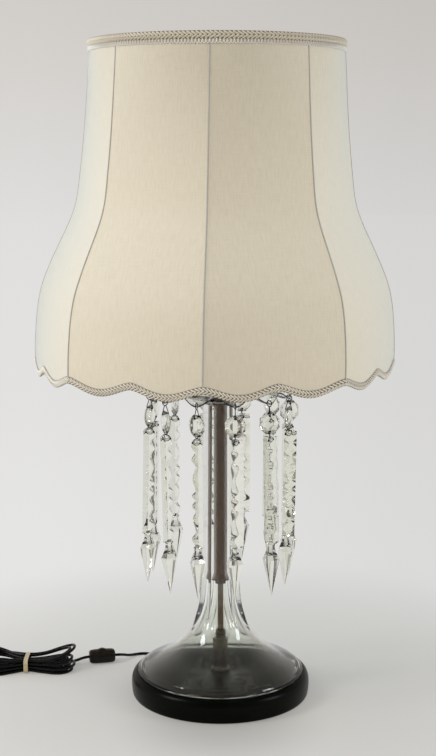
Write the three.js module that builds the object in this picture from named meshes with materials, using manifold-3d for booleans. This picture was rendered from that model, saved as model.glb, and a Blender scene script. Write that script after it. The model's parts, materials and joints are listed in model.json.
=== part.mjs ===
// A cut-glass table lamp with a bell shade: black turned base, one-piece cut column, a crystal dish
// with twelve hanging drops, a harp and socket, a panelled fabric shade, and its flex tied in a hank.
// Millimetres, +Z up. The origin is the centre of the underside, the front faces -Y.
import * as THREE from 'three';
import * as BufferGeometryUtils from 'three/addons/utils/BufferGeometryUtils.js';
import Module from 'manifold-3d';

const wasm = await Module();
wasm.setup();

// Clearances and how finely round pieces are cut
const SEAT = 0.3;
const WIRE_SIDES = 6;
const ROUND = 14;
const WIDE_ROUND = 40;
const HALF_TURN = Math.PI;
const FULL_TURN = 2 * Math.PI;

// Turned wooden base with its felt underside
const FELT_INSET = 7.3;
const FELT_THICKNESS = 1.5;
const BASE_RADIUS = 101.3;
const BASE_THICKNESS = 24.3;
const BASE_FOOT_INSET = 2.2;
const BASE_SHOULDER = 5.4;
const RECESS_RADIUS = 32;
const RECESS_DEPTH = 14.2;
const WASHER_RADIUS = 18;
const WASHER_THICKNESS = 1.6;
const NUT_ACROSS_FLATS = 14.3;
const NUT_THICKNESS = 3.6;

// Threaded lamp pipe, 1/8 IP, that holds the whole stack together
const PIPE_RADIUS = 5.1;
const PIPE_BORE = 3.6;
const PIPE_BELOW_NUT = 0.8;
const PIPE_INTO_CAP = 9.4;

// Nickel collar that stands on the base inside the glass foot
const COLLAR_RADIUS = 8.35;
const COLLAR_HEIGHT = 47.6;
const COLLAR_FLANGE = 2.3;
const COLLAR_FLANGE_HEIGHT = 3;

// One-piece clear glass: trumpet foot and six-sided column
const GLASS_HEIGHT = 310.6;
const GLASS_BORE = 7.6;
const CAVITY_HEIGHT = 107.6;
const CAVITY_TOP_RADIUS = 10;
const PANELS = 6;
const PANEL_TURN = 2;
const GLASS_COLUMNS = 30;
const FOOT_RADIUS = 95;
const FOOT_WALL = 5.5;
const COLUMN_FOOT_RADIUS = 23.3;
const COLUMN_TOP_RADIUS = 19.9;
const COLUMN_FOOT_HEIGHT = 85.6;

// Drilled glass dish and the seat under it
const CHECK_RING_RADIUS = 9.3;
const CHECK_RING_HEIGHT = 3.4;
const COLUMN_CAP_RADIUS = 9.5;
const COLUMN_CAP_THICKNESS = 2.7;
const DROPS = 12;
const DROP_CIRCLE = 80.1;
const DROP_TURN = 11.5;
const DISH_HUB_RADIUS = 14;
const DISH_THICKNESS = 4;
const DISH_EDGE_THICKNESS = 2.4;
const DISH_RISE = 15;
const LOBE_DROOP = 8.8;
const LOBE_REACH = 4.6;
const LOBE_HOLE_RADIUS = 1.7;
const LOBE_EDGE = 1.9;

// Drops: wire ring, faceted button, wire link, notched prism with a spear point
const WIRE_RADIUS = 0.5;
const RING_RADIUS = 3.4;
const BUTTON_DROP = 21.8;
const BUTTON_WIDTH = 22;
const BUTTON_HEIGHT = 24;
const BUTTON_THICKNESS = 8.4;
const BUTTON_GIRDLE = 1.6;
const BUTTON_TABLE = 0.5;
const BUTTON_HOLE_INSET = 3.5;
const BUTTON_HOLE_RADIUS = 1.7;
const LINK_RADIUS = 4.2;
const PRISM_TOP_DROP = 36.8;
const PRISM_LENGTH = 178;
const PRISM_WIDTH = 17;
const PRISM_DEPTH = 11.5;
const PRISM_BODY = 118;
const PRISM_NECK_WIDTH = 8.6;
const PRISM_NECK = 9;
const SPEAR_WIDTH = 19.4;
const SPEAR_DEPTH = 16.8;
const SPEAR_LENGTH = 42;

// Spindle, socket, bulb and harp, all inside the shade
const SPINDLE_LENGTH = 54;
const SPINDLE_RADIUS = 7.6;
const SPINDLE_FLANGE = 11.5;
const SADDLE_THICKNESS = 2;
const SADDLE_WIDTH = 14;
const SADDLE_HALF_SPAN = 27;
const PRONG_RADIUS = 2;
const PRONG_HEIGHT = 10;
const CAP_RADIUS = 17.3;
const CAP_HEIGHT = 20;
const CAP_FLOOR = 7;
const SHEET_METAL = 0.8;
const SHELL_HEIGHT = 43;
const CORE_RADIUS = 14.6;
const CORE_FLOOR = 10;
const CORE_HEIGHT = 38;
const BULB_BASE_RADIUS = 12.9;
const BULB_BASE_LENGTH = 26;
const BULB_RADIUS = 30;
const BULB_LENGTH = 110;
const HARP_WIRE = 1.7;
const HARP_STRAIGHT = 24;
const HARP_HALF_WIDTH = 61;
const HARP_SEAT_RADIUS = 6;
const HARP_SEAT_HEIGHT = 15;
const HARP_STUD_RADIUS = 3.1;
const HARP_STUD_LENGTH = 14;
const SLEEVE_RADIUS = 3.9;
const SLEEVE_LENGTH = 15;

// Shade: eight fabric panels over a wire frame, sixteen scallops along the hem
const SHADE_TOP = 737.3;
const SHADE_RECESS = 26.3;
const SHADE_SEAM_TURN = -3.6;
const GORES = 8;
const SCALLOPS = 16;
const HEM_HEIGHT = 372.7;
const SCALLOP_DEPTH = 9.5;
const COVER_THICKNESS = 1.2;
const FRAME_WIRE = 1.3;
const LINING_THICKNESS = 1;
const LINING_TOP_DROP = 10.5;
const LINING_HEM_RISE = 14.8;
const TOP_RING_DROP = 5.8;
const HEM_WIRE_RISE = 2.6;
const TRIM_THICKNESS = 1.3;
const TRIM_EASE = 0.55;
const TOP_TRIM_HEIGHT = 14;
const HEM_TRIM_HEIGHT = 6;
const SHADE_COLUMNS = 64;
const LINING_COLUMNS = 16;
const TOP_WIRE_COLUMNS = 24;
const SPIDER_ARMS = 3;
const SPIDER_WIRE = 1.6;
const SPIDER_RING_RADIUS = 13;
const SPIDER_RING_THICKNESS = 2;
const FINIAL_HEIGHT = 21.5;
const FINIAL_RADIUS = 7;

// Flex, its in-line switch, its hank and its plug
const CORD_RADIUS = 1.7;
const CORD_SIDES = 8;
const CORD_STEPS = 14;
const EXIT_TURN = -145;
const EXIT_HEIGHT = 7;
const BUSHING_RADIUS = 4.1;
const BUSHING_BORE = 2.2;
const BUSHING_LENGTH = 15;
const BUSHING_TAIL = 12;
const BUSHING_TAIL_WALL = 0.6;
const BUSHING_FLANGE = 2;
const BUSHING_FLANGE_THICKNESS = 1.5;
const SWITCH_AT = [-144.1, 87.7, 8.4];
const SWITCH_TURN = 12;
const SWITCH_LENGTH = 31;
const SWITCH_WIDTH = 16.5;
const SWITCH_HEIGHT = 16.4;
const DIAL_RADIUS = 7.6;
const DIAL_THICKNESS = 5.4;
const DIAL_RISE = 1.9;
const DIAL_AXLE_RADIUS = 1.5;
const DIAL_AXLE_LENGTH = 2.4;
const HANK_AT = [-232, 63];
const HANK_HALF_LENGTH = 57;
const HANK_LAYERS = 4;
const HANK_LOOPS_PER_LAYER = 2;
const HANK_PITCH = 4.9;
const HANK_LAYER_RISE = 4.05;
const HANK_WAIST = 12.1;
const HANK_RIGHT_LOBE = 19;
const HANK_LEFT_LOBE = 23;
const HANK_END_STEPS = 6;
const HANK_RUN_STEPS = 4;
const TIE_WIDTH = 5;
const TIE_THICKNESS = 0.8;
const TIE_EASE = 1.7;
const PLUG_AT = [-299.6, 89, 9];
const PLUG_LENGTH = 24;
const PLUG_WIDTH = 22;
const PLUG_HEIGHT = 15;
const BLADE_LENGTH = 16;
const BLADE_WIDTH = 6.3;
const BLADE_THICKNESS = 1.5;
const BLADE_SPACING = 12.7;

// Flex from the base to the switch, in order
const CORD_ROUTE = [
  [-59.3, 84.7, 7.0], [-63.3, 90.4, 7.0], [-67.3, 96.0, 6.8], [-72.1, 101.9, 5.2],
  [-78.4, 107.6, 3.0], [-85.9, 112.1, 1.9], [-94.0, 113.9, 1.8], [-101.9, 112.0, 1.9],
  [-108.4, 107.2, 2.6], [-113.3, 101.4, 4.4], [-118.0, 96.3, 6.7], [-123.2, 92.7, 8.1],
  [-128.4, 91.0, 8.4],
];

// Flex from the switch into the hank, and from the hank to the plug
const HANK_LEAD_IN = [
  [-159.6, 84.4, 8.4], [-163.0, 83.7, 8.2], [-168.5, 83.3, 6.8], [-174.5, 83.6, 4.5],
  [-181.0, 83.8, 2.6], [-187.5, 83.0, 1.9],
];
const HANK_TAIL = [
  [-274.5, 86.6, 13.2], [-282.5, 87.4, 11.2], [-290.0, 88.5, 9.6], [-295.4, 89.0, 9.0],
  [-299.2, 89.0, 9.0],
];

// Heights that follow from the stack
const baseBottom = FELT_THICKNESS + SEAT;
const baseTop = baseBottom + BASE_THICKNESS;
const recessTop = baseBottom + RECESS_DEPTH;
const washerTop = recessTop - SEAT;
const nutTop = washerTop - WASHER_THICKNESS - SEAT;
const pipeBottom = nutTop - NUT_THICKNESS - PIPE_BELOW_NUT;
const pipeHole = PIPE_RADIUS + SEAT;
const glassBottom = baseTop + SEAT;
const glassTop = glassBottom + GLASS_HEIGHT;
const cavityTop = glassBottom + CAVITY_HEIGHT;
const capSeatTop = glassTop + SEAT + COLUMN_CAP_THICKNESS;
const dishBottom = capSeatTop + SEAT;
const dishHubTop = dishBottom + DISH_THICKNESS;
const spindleBottom = dishHubTop + SEAT;
const spindleTop = spindleBottom + SPINDLE_LENGTH;
const saddleBottom = spindleTop + SEAT;
const saddleTop = saddleBottom + SADDLE_THICKNESS;
const socketBottom = saddleTop + SEAT;
const pipeTop = socketBottom + PIPE_INTO_CAP;
const harpTop = SHADE_TOP - SHADE_RECESS;
const harpFoot = saddleTop + PRONG_HEIGHT + SEAT;
const spiderBottom = harpTop + SEAT;
const swingHeight = dishBottom + DISH_RISE - LOBE_DROOP + DISH_EDGE_THICKNESS / 2;
const dropColumn = (index) => DROP_TURN + index * 360 / DROPS;

// Materials
const finish = (color, roughness, metalness = 0) =>
  new THREE.MeshStandardMaterial({ color, roughness, metalness });
const FINISHES = {
  felt: finish(0x20342a, 1),
  blackWood: finish(0x0d0d0c, 0.25),
  steel: finish(0x8d8f90, 0.45, 1),
  nickel: finish(0xa8a298, 0.28, 1),
  brass: finish(0x9a7a3c, 0.35, 1),
  glass: Object.assign(finish(0xe9eeec, 0.05), { transparent: true, opacity: 0.4 }),
  rubber: finish(0x1b1b1b, 0.8),
  phenolic: finish(0x141312, 0.4),
  bulb: finish(0xf4f1e8, 0.35),
  wire: finish(0x6c6250, 0.5, 1),
  cloth: finish(0xe3dccb, 0.95),
  lining: finish(0xf2efe6, 0.9),
  braid: finish(0xcdbfa5, 0.95),
  flex: finish(0x101010, 0.4),
  bakelite: finish(0x1c1511, 0.3),
  band: finish(0xc9b58a, 0.8),
};

const lamp = new THREE.Group();

function add(name, geometry, material, group = lamp) {
  const mesh = new THREE.Mesh(geometry, material);
  mesh.name = name;
  group.add(mesh);
  return mesh;
}

// Merge shared corners, drop empty triangles and turn the faces outwards
function tidy(geometry) {
  let merged = geometry.clone();
  merged.deleteAttribute('normal');
  merged.deleteAttribute('uv');
  merged = BufferGeometryUtils.mergeVertices(merged, 1e-4);
  const index = merged.index.array;
  const place = merged.attributes.position;
  const corners = [0, 1, 2].map(() => new THREE.Vector3());
  const kept = [];
  let volume = 0;
  for (let i = 0; i < index.length; i += 3) {
    const [a, b, c] = [index[i], index[i + 1], index[i + 2]];
    if (a !== b && b !== c && c !== a) {
      kept.push(a, b, c);
      [a, b, c].forEach((vertex, slot) => corners[slot].fromBufferAttribute(place, vertex));
      volume += corners[0].dot(corners[1].clone().cross(corners[2]));
    }
  }
  if (volume < 0) {
    for (let i = 0; i < kept.length; i += 3) {
      [kept[i], kept[i + 1]] = [kept[i + 1], kept[i]];
    }
  }
  const solid = new THREE.BufferGeometry();
  solid.setAttribute('position', place);
  solid.setIndex(kept);
  return solid;
}

function asManifold(geometry) {
  const solid = tidy(geometry);
  return new wasm.Manifold(new wasm.Mesh({
    numProp: 3,
    vertProperties: new Float32Array(solid.attributes.position.array),
    triVerts: new Uint32Array(solid.index.array),
  }));
}

function fromManifold(manifold) {
  const mesh = manifold.getMesh();
  const solid = new THREE.BufferGeometry();
  solid.setAttribute('position', new THREE.BufferAttribute(new Float32Array(mesh.vertProperties), 3));
  solid.setIndex(new THREE.BufferAttribute(new Uint32Array(mesh.triVerts), 1));
  return solid;
}

const joined = (...solids) => fromManifold(solids.map(asManifold).reduce((a, b) => a.add(b)));
const cut = (solid, ...tools) =>
  fromManifold(tools.map(asManifold).reduce((a, b) => a.subtract(b), asManifold(solid)));
const common = (a, b) => fromManifold(asManifold(a).intersect(asManifold(b)));

// A turned solid from [radius, height] points; it closes on itself, or on the axis
function turned(profile, sides = ROUND) {
  const points = profile.map(([radius, height]) => new THREE.Vector2(radius, height));
  if (profile[0][0] > 0) points.push(points[0].clone());
  return tidy(new THREE.LatheGeometry(points, sides).rotateX(HALF_TURN / 2));
}

const ring = (inner, outer, bottom, top, sides = ROUND) =>
  turned([[inner, bottom], [outer, bottom], [outer, top], [inner, top]], sides);
const disc = (radius, bottom, top, sides = ROUND) =>
  turned([[0, bottom], [radius, bottom], [radius, top], [0, top]], sides);

// Cylindrical place: angle in degrees from the front towards +X
function around(degrees, radius, height) {
  const angle = THREE.MathUtils.degToRad(degrees);
  return new THREE.Vector3(radius * Math.sin(angle), -radius * Math.cos(angle), height);
}

// Skin over rings of equal count: joined end to end, or closed by flat ends
function skin(rings, endless = false) {
  const count = rings[0].length;
  const places = rings.flat().flatMap((point) => [point.x, point.y, point.z]);
  const index = [];
  const bands = endless ? rings.length : rings.length - 1;
  for (let i = 0; i < bands; i += 1) {
    const next = ((i + 1) % rings.length) * count;
    for (let j = 0; j < count; j += 1) {
      const k = (j + 1) % count;
      index.push(i * count + j, i * count + k, next + k, i * count + j, next + k, next + j);
    }
  }
  if (!endless) {
    const last = (rings.length - 1) * count;
    for (let j = 1; j < count - 1; j += 1) {
      index.push(0, j + 1, j, last, last + j, last + j + 1);
    }
  }
  const geometry = new THREE.BufferGeometry();
  geometry.setAttribute('position', new THREE.Float32BufferAttribute(places, 3));
  geometry.setIndex(index);
  return tidy(geometry);
}

// A round section swept along a curve
function tube(points, radius, steps, sides = WIRE_SIDES) {
  const section = new THREE.Shape();
  for (let i = 0; i < sides; i += 1) {
    const angle = FULL_TURN * i / sides;
    const spot = [radius * Math.cos(angle), radius * Math.sin(angle)];
    if (i === 0) section.moveTo(...spot);
    else section.lineTo(...spot);
  }
  const path = new THREE.CatmullRomCurve3(points.map((point) =>
    (point.isVector3 ? point : new THREE.Vector3(...point))), false, 'centripetal');
  return tidy(new THREE.ExtrudeGeometry(section, { extrudePath: path, steps, bevelEnabled: false }));
}

// Smooth curve through [x, y] points with rising x
function smooth(points, x) {
  const last = points.length - 1;
  if (x <= points[0][0]) return points[0][1];
  if (x >= points[last][0]) return points[last][1];
  const i = points.findIndex((point) => point[0] > x) - 1;
  const slope = (k) => {
    const [low, high] = [points[Math.max(k - 1, 0)], points[Math.min(k + 1, last)]];
    return (high[1] - low[1]) / (high[0] - low[0]);
  };
  const span = points[i + 1][0] - points[i][0];
  const t = (x - points[i][0]) / span;
  return (1 + 2 * t) * (1 - t) ** 2 * points[i][1] + t * (1 - t) ** 2 * span * slope(i)
    + t * t * (3 - 2 * t) * points[i + 1][1] + t * t * (t - 1) * span * slope(i + 1);
}

const listOf = (count, make) => Array.from({ length: count }, (_, index) => make(index));

// A straight rod between two points, or a taper
function rod(from, to, radius, sides = WIRE_SIDES, endRadius = radius) {
  const [start, end] = [from, to].map((point) => new THREE.Vector3(...point));
  const run = end.clone().sub(start);
  const bar = new THREE.CylinderGeometry(endRadius, radius, run.length(), sides);
  bar.applyQuaternion(new THREE.Quaternion().setFromUnitVectors(
    new THREE.Vector3(0, 1, 0), run.clone().normalize()));
  return bar.translate(...start.add(end).multiplyScalar(0.5));
}

// A box between two corners
function block(low, high) {
  const size = high.map((value, axis) => value - low[axis]);
  return new THREE.BoxGeometry(...size)
    .translate(...low.map((value, axis) => value + size[axis] / 2));
}

// Felt and turned wood
add('felt_pad', disc(BASE_RADIUS - FELT_INSET, 0, FELT_THICKNESS, WIDE_ROUND), FINISHES.felt);

const exitHole = rod(
  around(EXIT_TURN, RECESS_RADIUS / 2, EXIT_HEIGHT).toArray(),
  around(EXIT_TURN, BASE_RADIUS * 1.1, EXIT_HEIGHT).toArray(),
  BUSHING_RADIUS + SEAT, 8);
const baseProfile = [
  [pipeHole, recessTop], [RECESS_RADIUS, recessTop], [RECESS_RADIUS, baseBottom],
  [BASE_RADIUS - BASE_FOOT_INSET, baseBottom],
  [BASE_RADIUS - BASE_FOOT_INSET / 4, baseBottom + BASE_SHOULDER * 0.6],
  [BASE_RADIUS, baseBottom + BASE_THICKNESS * 0.45],
  [BASE_RADIUS - BASE_FOOT_INSET / 4, baseTop - BASE_SHOULDER],
  [BASE_RADIUS - BASE_SHOULDER * 0.35, baseTop - BASE_SHOULDER * 0.35],
  [BASE_RADIUS - BASE_SHOULDER, baseTop], [pipeHole, baseTop],
];
add('wood_base', cut(turned(baseProfile, WIDE_ROUND), exitHole), FINISHES.blackWood);

add('base_washer', ring(pipeHole, WASHER_RADIUS, washerTop - WASHER_THICKNESS, washerTop), FINISHES.steel);

const nutBlank = new THREE.CylinderGeometry(
  NUT_ACROSS_FLATS / Math.sqrt(3), NUT_ACROSS_FLATS / Math.sqrt(3), NUT_THICKNESS, 6)
  .rotateX(HALF_TURN / 2).translate(0, 0, nutTop - NUT_THICKNESS / 2);
add('base_lock_nut', cut(nutBlank, disc(pipeHole, pipeBottom - 1, nutTop + 1)), FINISHES.steel);

add('lamp_pipe', ring(PIPE_BORE, PIPE_RADIUS, pipeBottom, pipeTop), FINISHES.nickel);

const collarTop = glassBottom + COLLAR_HEIGHT;
add('base_collar', turned([
  [pipeHole, glassBottom], [COLLAR_RADIUS + COLLAR_FLANGE, glassBottom],
  [COLLAR_RADIUS + COLLAR_FLANGE, glassBottom + COLLAR_FLANGE_HEIGHT * 0.7],
  [COLLAR_RADIUS, glassBottom + COLLAR_FLANGE_HEIGHT], [COLLAR_RADIUS, collarTop - COLLAR_FLANGE_HEIGHT],
  [COLLAR_RADIUS + 0.5, collarTop - COLLAR_FLANGE_HEIGHT * 0.6], [COLLAR_RADIUS - 1.2, collarTop],
  [pipeHole, collarTop],
]), FINISHES.nickel);

// Flare of the foot before its panels are cut: share of its height and of its overhang
const GLASS_FLARE = [
  [0, 1], [0.0444, 0.9693], [0.0864, 0.894], [0.1402, 0.749], [0.2103, 0.5955], [0.2991, 0.4519],
  [0.3925, 0.3194], [0.4977, 0.205], [0.6145, 0.1213], [0.7371, 0.0656], [0.8879, 0.0237],
];
const glassColumn = [
  [COLUMN_FOOT_HEIGHT, COLUMN_FOOT_RADIUS], [GLASS_HEIGHT * 0.4, COLUMN_FOOT_RADIUS - 1.1],
  [GLASS_HEIGHT * 0.65, COLUMN_FOOT_RADIUS - 2.2], [GLASS_HEIGHT, COLUMN_TOP_RADIUS],
];
const glassBlank = [
  ...GLASS_FLARE.map(([up, out]) => [up * COLUMN_FOOT_HEIGHT,
    COLUMN_FOOT_RADIUS + out * (FOOT_RADIUS - COLUMN_FOOT_RADIUS)]),
  ...glassColumn,
];

// Distance of each flat panel from the axis; the panels run out through the flare of the foot
const panelCos = Math.cos(HALF_TURN / PANELS);
const PANEL_RUN_OUT = [
  [0.4673, 0.3601], [0.5374, 0.2151], [0.6145, 0.1398], [0.7009, 0.0868], [0.7827, 0.0477], [0.8879, 0.0198],
];
const panelCut = [
  ...PANEL_RUN_OUT.map(([up, out]) => [up * COLUMN_FOOT_HEIGHT,
    COLUMN_FOOT_RADIUS * panelCos + out * (FOOT_RADIUS - COLUMN_FOOT_RADIUS)]),
  ...glassColumn.map(([height, radius]) => [height, radius * panelCos]),
];

// Inside of the foot: share of its height and of its width beyond the mouth of the bore
const GLASS_CAVITY = [
  [0, 1], [0.0335, 0.9571], [0.0892, 0.8223], [0.1543, 0.6691], [0.2286, 0.5221], [0.3123, 0.3873],
  [0.4052, 0.2586], [0.4981, 0.1605], [0.6097, 0.0895], [0.7249, 0.0453], [0.855, 0.0159], [1, 0],
];

function glassRadius(degrees, height) {
  const step = 360 / PANELS;
  const away = Math.abs(((degrees % step) + step * 1.5) % step - step / 2);
  const flat = smooth(panelCut, height) / Math.cos(THREE.MathUtils.degToRad(away));
  const blank = smooth(glassBlank, height);
  return height < panelCut[0][0] ? blank : Math.min(blank * 1.004, flat);
}

const outerHeights = [
  ...[0, 0.0444, 0.105, 0.187, 0.292, 0.397, 0.4673, 0.526, 0.596, 0.678, 0.771, 1]
    .map((share) => share * COLUMN_FOOT_HEIGHT),
  GLASS_HEIGHT * 0.4, GLASS_HEIGHT * 0.65, GLASS_HEIGHT,
];
const innerShares = [1, 0.7435, 0.52, 0.353, 0.2045, 0.0743, 0];
const cavityRadius = (share) => CAVITY_TOP_RADIUS
  + smooth(GLASS_CAVITY, share) * (FOOT_RADIUS - FOOT_WALL - CAVITY_TOP_RADIUS);
const glassRing = (height, radiusAt) => listOf(GLASS_COLUMNS, (index) => {
  const degrees = 180 / PANELS + index * 360 / GLASS_COLUMNS;
  return around(degrees + PANEL_TURN, radiusAt(degrees, height), glassBottom + height);
});
const glassRings = [
  ...outerHeights.map((height) => glassRing(height, glassRadius)),
  glassRing(GLASS_HEIGHT, () => GLASS_BORE), glassRing(CAVITY_HEIGHT, () => GLASS_BORE),
  ...innerShares.map((share) => glassRing(share * CAVITY_HEIGHT, () => cavityRadius(share))),
];
add('glass_body', skin(glassRings, true), FINISHES.glass);

add('centring_washer', ring(pipeHole, CHECK_RING_RADIUS, cavityTop - SEAT - CHECK_RING_HEIGHT,
  cavityTop - SEAT), FINISHES.rubber);
add('column_cap', turned([
  [pipeHole, glassTop + SEAT], [COLUMN_CAP_RADIUS, glassTop + SEAT],
  [COLUMN_CAP_RADIUS, capSeatTop - COLUMN_CAP_THICKNESS / 2], [COLUMN_CAP_RADIUS - 1.5, capSeatTop],
  [pipeHole, capSeatTop],
]), FINISHES.nickel);

// Glass dish: it rises from its hub and its twelve lobes droop again to the drilled tips
const lobeTip = DROP_CIRCLE + LOBE_EDGE;
const DISH_SECTION = [
  [DISH_HUB_RADIUS / lobeTip, 0], [0.3, 0.17], [0.5, 0.52], [0.7, 0.84], [0.86, 1], [1, 1],
];

function dishPlace(degrees, share, lift) {
  const lobe = (1 + Math.cos(THREE.MathUtils.degToRad((degrees - DROP_TURN) * DROPS))) / 2;
  const fade = THREE.MathUtils.smoothstep(share, 0.62, 0.92);
  const radius = share * (lobeTip - LOBE_REACH * (1 - lobe) * fade);
  const height = smooth(DISH_SECTION, share) * DISH_RISE - LOBE_DROOP * lobe * fade;
  const thickness = THREE.MathUtils.lerp(DISH_THICKNESS, DISH_EDGE_THICKNESS, share);
  return around(degrees, radius, dishBottom + height + lift * thickness);
}

const dishShares = [DISH_HUB_RADIUS / lobeTip, 0.5, 0.76, 0.9, 1];
const dishColumns = DROPS * 3;
const dishRing = (share, lift) => listOf(dishColumns, (index) =>
  dishPlace(DROP_TURN + index * 360 / dishColumns, share, lift));
const hubRing = (height) => listOf(dishColumns, (index) =>
  around(DROP_TURN + index * 360 / dishColumns, pipeHole, height));
const dishBlank = skin([
  hubRing(dishBottom), ...dishShares.map((share) => dishRing(share, 0)),
  ...dishShares.toReversed().map((share) => dishRing(share, 1)), hubRing(dishHubTop),
], true);
const lobeHoles = listOf(DROPS, (index) => {
  const hole = around(dropColumn(index), DROP_CIRCLE - RING_RADIUS, swingHeight);
  return rod([hole.x, hole.y, hole.z - 8], [hole.x, hole.y, hole.z + 8], LOBE_HOLE_RADIUS, 6);
});
add('bobeche', cut(dishBlank, ...lobeHoles), FINISHES.glass);

// Drops. Each hangs by a wire ring through its lobe and turns about the centre of that ring
const RIDGE_TOWARDS = [-18, -14, -40, 60, 150, 200, 170, 70, 260, 78, 80, -80];
const BUTTON_TOWARDS = [0, 8, 75, 20, 140, 190, 175, 100, 250, 70, -70, -45];

// Notched ridge of a prism: share of the way down its body and of its full depth
const RIDGE = [
  [0, 0.62], [0.0712, 0.98], [0.1229, 0.58], [0.1898, 0.96], [0.25, 0.54], [0.372, 0.86],
  [0.4873, 0.56], [0.5246, 0.94], [0.5746, 0.56], [0.6229, 0.94], [0.6737, 0.56], [0.7458, 0.84],
  [0.8797, 0.55], [0.928, 0.96], [1, 0.6],
];

function prismBlank() {
  const back = PRISM_DEPTH * 0.42;
  const middle = back - PRISM_DEPTH / 2;
  const section = (down, width, rear, front, flat) =>
    [[-width / 2, rear], [-flat / 2, front], [flat / 2, front], [width / 2, rear]]
      .map(([x, y]) => new THREE.Vector3(x, y, -down));
  const notched = ([down, share]) => section(down * PRISM_BODY, PRISM_WIDTH, back, back - PRISM_DEPTH * share,
    PRISM_WIDTH * (1 - share) + 0.8);
  const pointed = (down, width, depth) =>
    section(down, width, middle + depth / 2, middle - depth / 2, width * 0.3);
  const neckDepth = PRISM_NECK_WIDTH * 0.85;
  return skin([
    ...RIDGE.map(notched),
    pointed(PRISM_BODY + PRISM_NECK / 2, PRISM_NECK_WIDTH, neckDepth),
    pointed(PRISM_BODY + PRISM_NECK, PRISM_NECK_WIDTH + 1, neckDepth),
    pointed(PRISM_LENGTH - SPEAR_LENGTH, SPEAR_WIDTH, SPEAR_DEPTH),
    pointed(PRISM_LENGTH, 0.6, 0.6),
  ]);
}

function buttonBlank() {
  const sides = 8;
  const octagon = (share, lift) => listOf(sides, (index) => {
    const angle = FULL_TURN * (index + 0.5) / sides;
    const stretch = share / Math.cos(HALF_TURN / sides) / 2;
    return new THREE.Vector3(
      BUTTON_WIDTH * stretch * Math.cos(angle), lift, BUTTON_HEIGHT * stretch * Math.sin(angle));
  });
  return skin([
    octagon(BUTTON_TABLE, -BUTTON_THICKNESS / 2), octagon(1, -BUTTON_GIRDLE / 2),
    octagon(1, BUTTON_GIRDLE / 2), octagon(BUTTON_TABLE, BUTTON_THICKNESS / 2),
  ]);
}

const turnAboutZ = (geometry, degrees) => geometry.clone().rotateZ(THREE.MathUtils.degToRad(degrees));
const wireRing = (radius) => new THREE.TorusGeometry(radius, WIRE_RADIUS, 3, 9);
const blankPrism = prismBlank();
const buttonHoleHeight = BUTTON_HEIGHT / 2 - BUTTON_HOLE_INSET;
const drilledButton = cut(buttonBlank(), rod([0, -9, -buttonHoleHeight], [0, 9, -buttonHoleHeight],
  BUTTON_HOLE_RADIUS, 6));
const linkHeight = -BUTTON_DROP - BUTTON_HEIGHT / 2;

for (let index = 0; index < DROPS; index += 1) {
  const hanger = new THREE.Group();
  hanger.position.copy(around(dropColumn(index), DROP_CIRCLE, swingHeight));
  lamp.add(hanger);
  const number = String(index + 1).padStart(2, '0');
  const topRing = turnAboutZ(wireRing(RING_RADIUS).rotateX(HALF_TURN / 2), dropColumn(index) - 90);
  const button = turnAboutZ(drilledButton, BUTTON_TOWARDS[index]).translate(0, 0, -BUTTON_DROP);
  const stem = rod([0, 0, -RING_RADIUS], [0, 0, -BUTTON_DROP + buttonHoleHeight], WIRE_RADIUS * 1.1, 4);
  add(`crystal_button_${number}`, joined(button, stem, topRing), FINISHES.glass, hanger);
  const link = turnAboutZ(wireRing(LINK_RADIUS).rotateX(HALF_TURN / 2), BUTTON_TOWARDS[index] + 90)
    .translate(0, 0, linkHeight);
  const prism = turnAboutZ(blankPrism, RIDGE_TOWARDS[index]).translate(0, 0, -PRISM_TOP_DROP);
  add(`prism_${number}`, joined(prism, link), FINISHES.glass, hanger);
}

// Spindle between the dish and the harp saddle
add('bobeche_neck', turned([
  [pipeHole, spindleBottom], [SPINDLE_FLANGE, spindleBottom], [SPINDLE_FLANGE, spindleBottom + 2.5],
  [SPINDLE_RADIUS, spindleBottom + 6], [SPINDLE_RADIUS, spindleTop - 8],
  [SPINDLE_FLANGE - 1, spindleTop - 2.5], [SPINDLE_FLANGE - 1, spindleTop], [pipeHole, spindleTop],
]), FINISHES.nickel);

// Harp saddle, its two prongs and the sleeves that lock the harp to them
const saddleBar = block([-SADDLE_HALF_SPAN - 4, -SADDLE_WIDTH / 2, saddleBottom],
  [SADDLE_HALF_SPAN + 4, SADDLE_WIDTH / 2, saddleTop]);
const prong = (side) => rod([side * SADDLE_HALF_SPAN, 0, saddleBottom + 0.5],
  [side * SADDLE_HALF_SPAN, 0, saddleTop + PRONG_HEIGHT], PRONG_RADIUS, 12);
add('harp_saddle', cut(joined(saddleBar, prong(-1), prong(1)),
  disc(pipeHole, saddleBottom - 1, saddleTop + 1)), FINISHES.brass);

const harpSeatBottom = harpTop - HARP_SEAT_HEIGHT;

// Bow of the harp: share of its height and of its half width
const HARP_BOW = [[0.14, 0.58], [0.3, 0.9], [0.5, 1], [0.68, 0.93], [0.85, 0.68], [1, 0.3]];
const harpLeg = (side) => tube([
  ...[0, 0.5, 1].map((share) => [side * SADDLE_HALF_SPAN, 0, harpFoot + HARP_STRAIGHT * share]),
  ...HARP_BOW.map(([up, out]) => [side * HARP_HALF_WIDTH * out, 0,
    THREE.MathUtils.lerp(harpFoot, harpSeatBottom, up)]),
  [0, 0, harpSeatBottom + HARP_SEAT_HEIGHT / 3],
], HARP_WIRE, 14);
add('harp', joined(
  harpLeg(-1), harpLeg(1), disc(HARP_SEAT_RADIUS, harpSeatBottom, harpTop, 16),
  disc(HARP_STUD_RADIUS, harpTop - 1, harpTop + HARP_STUD_LENGTH, 16),
), FINISHES.brass);

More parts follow.
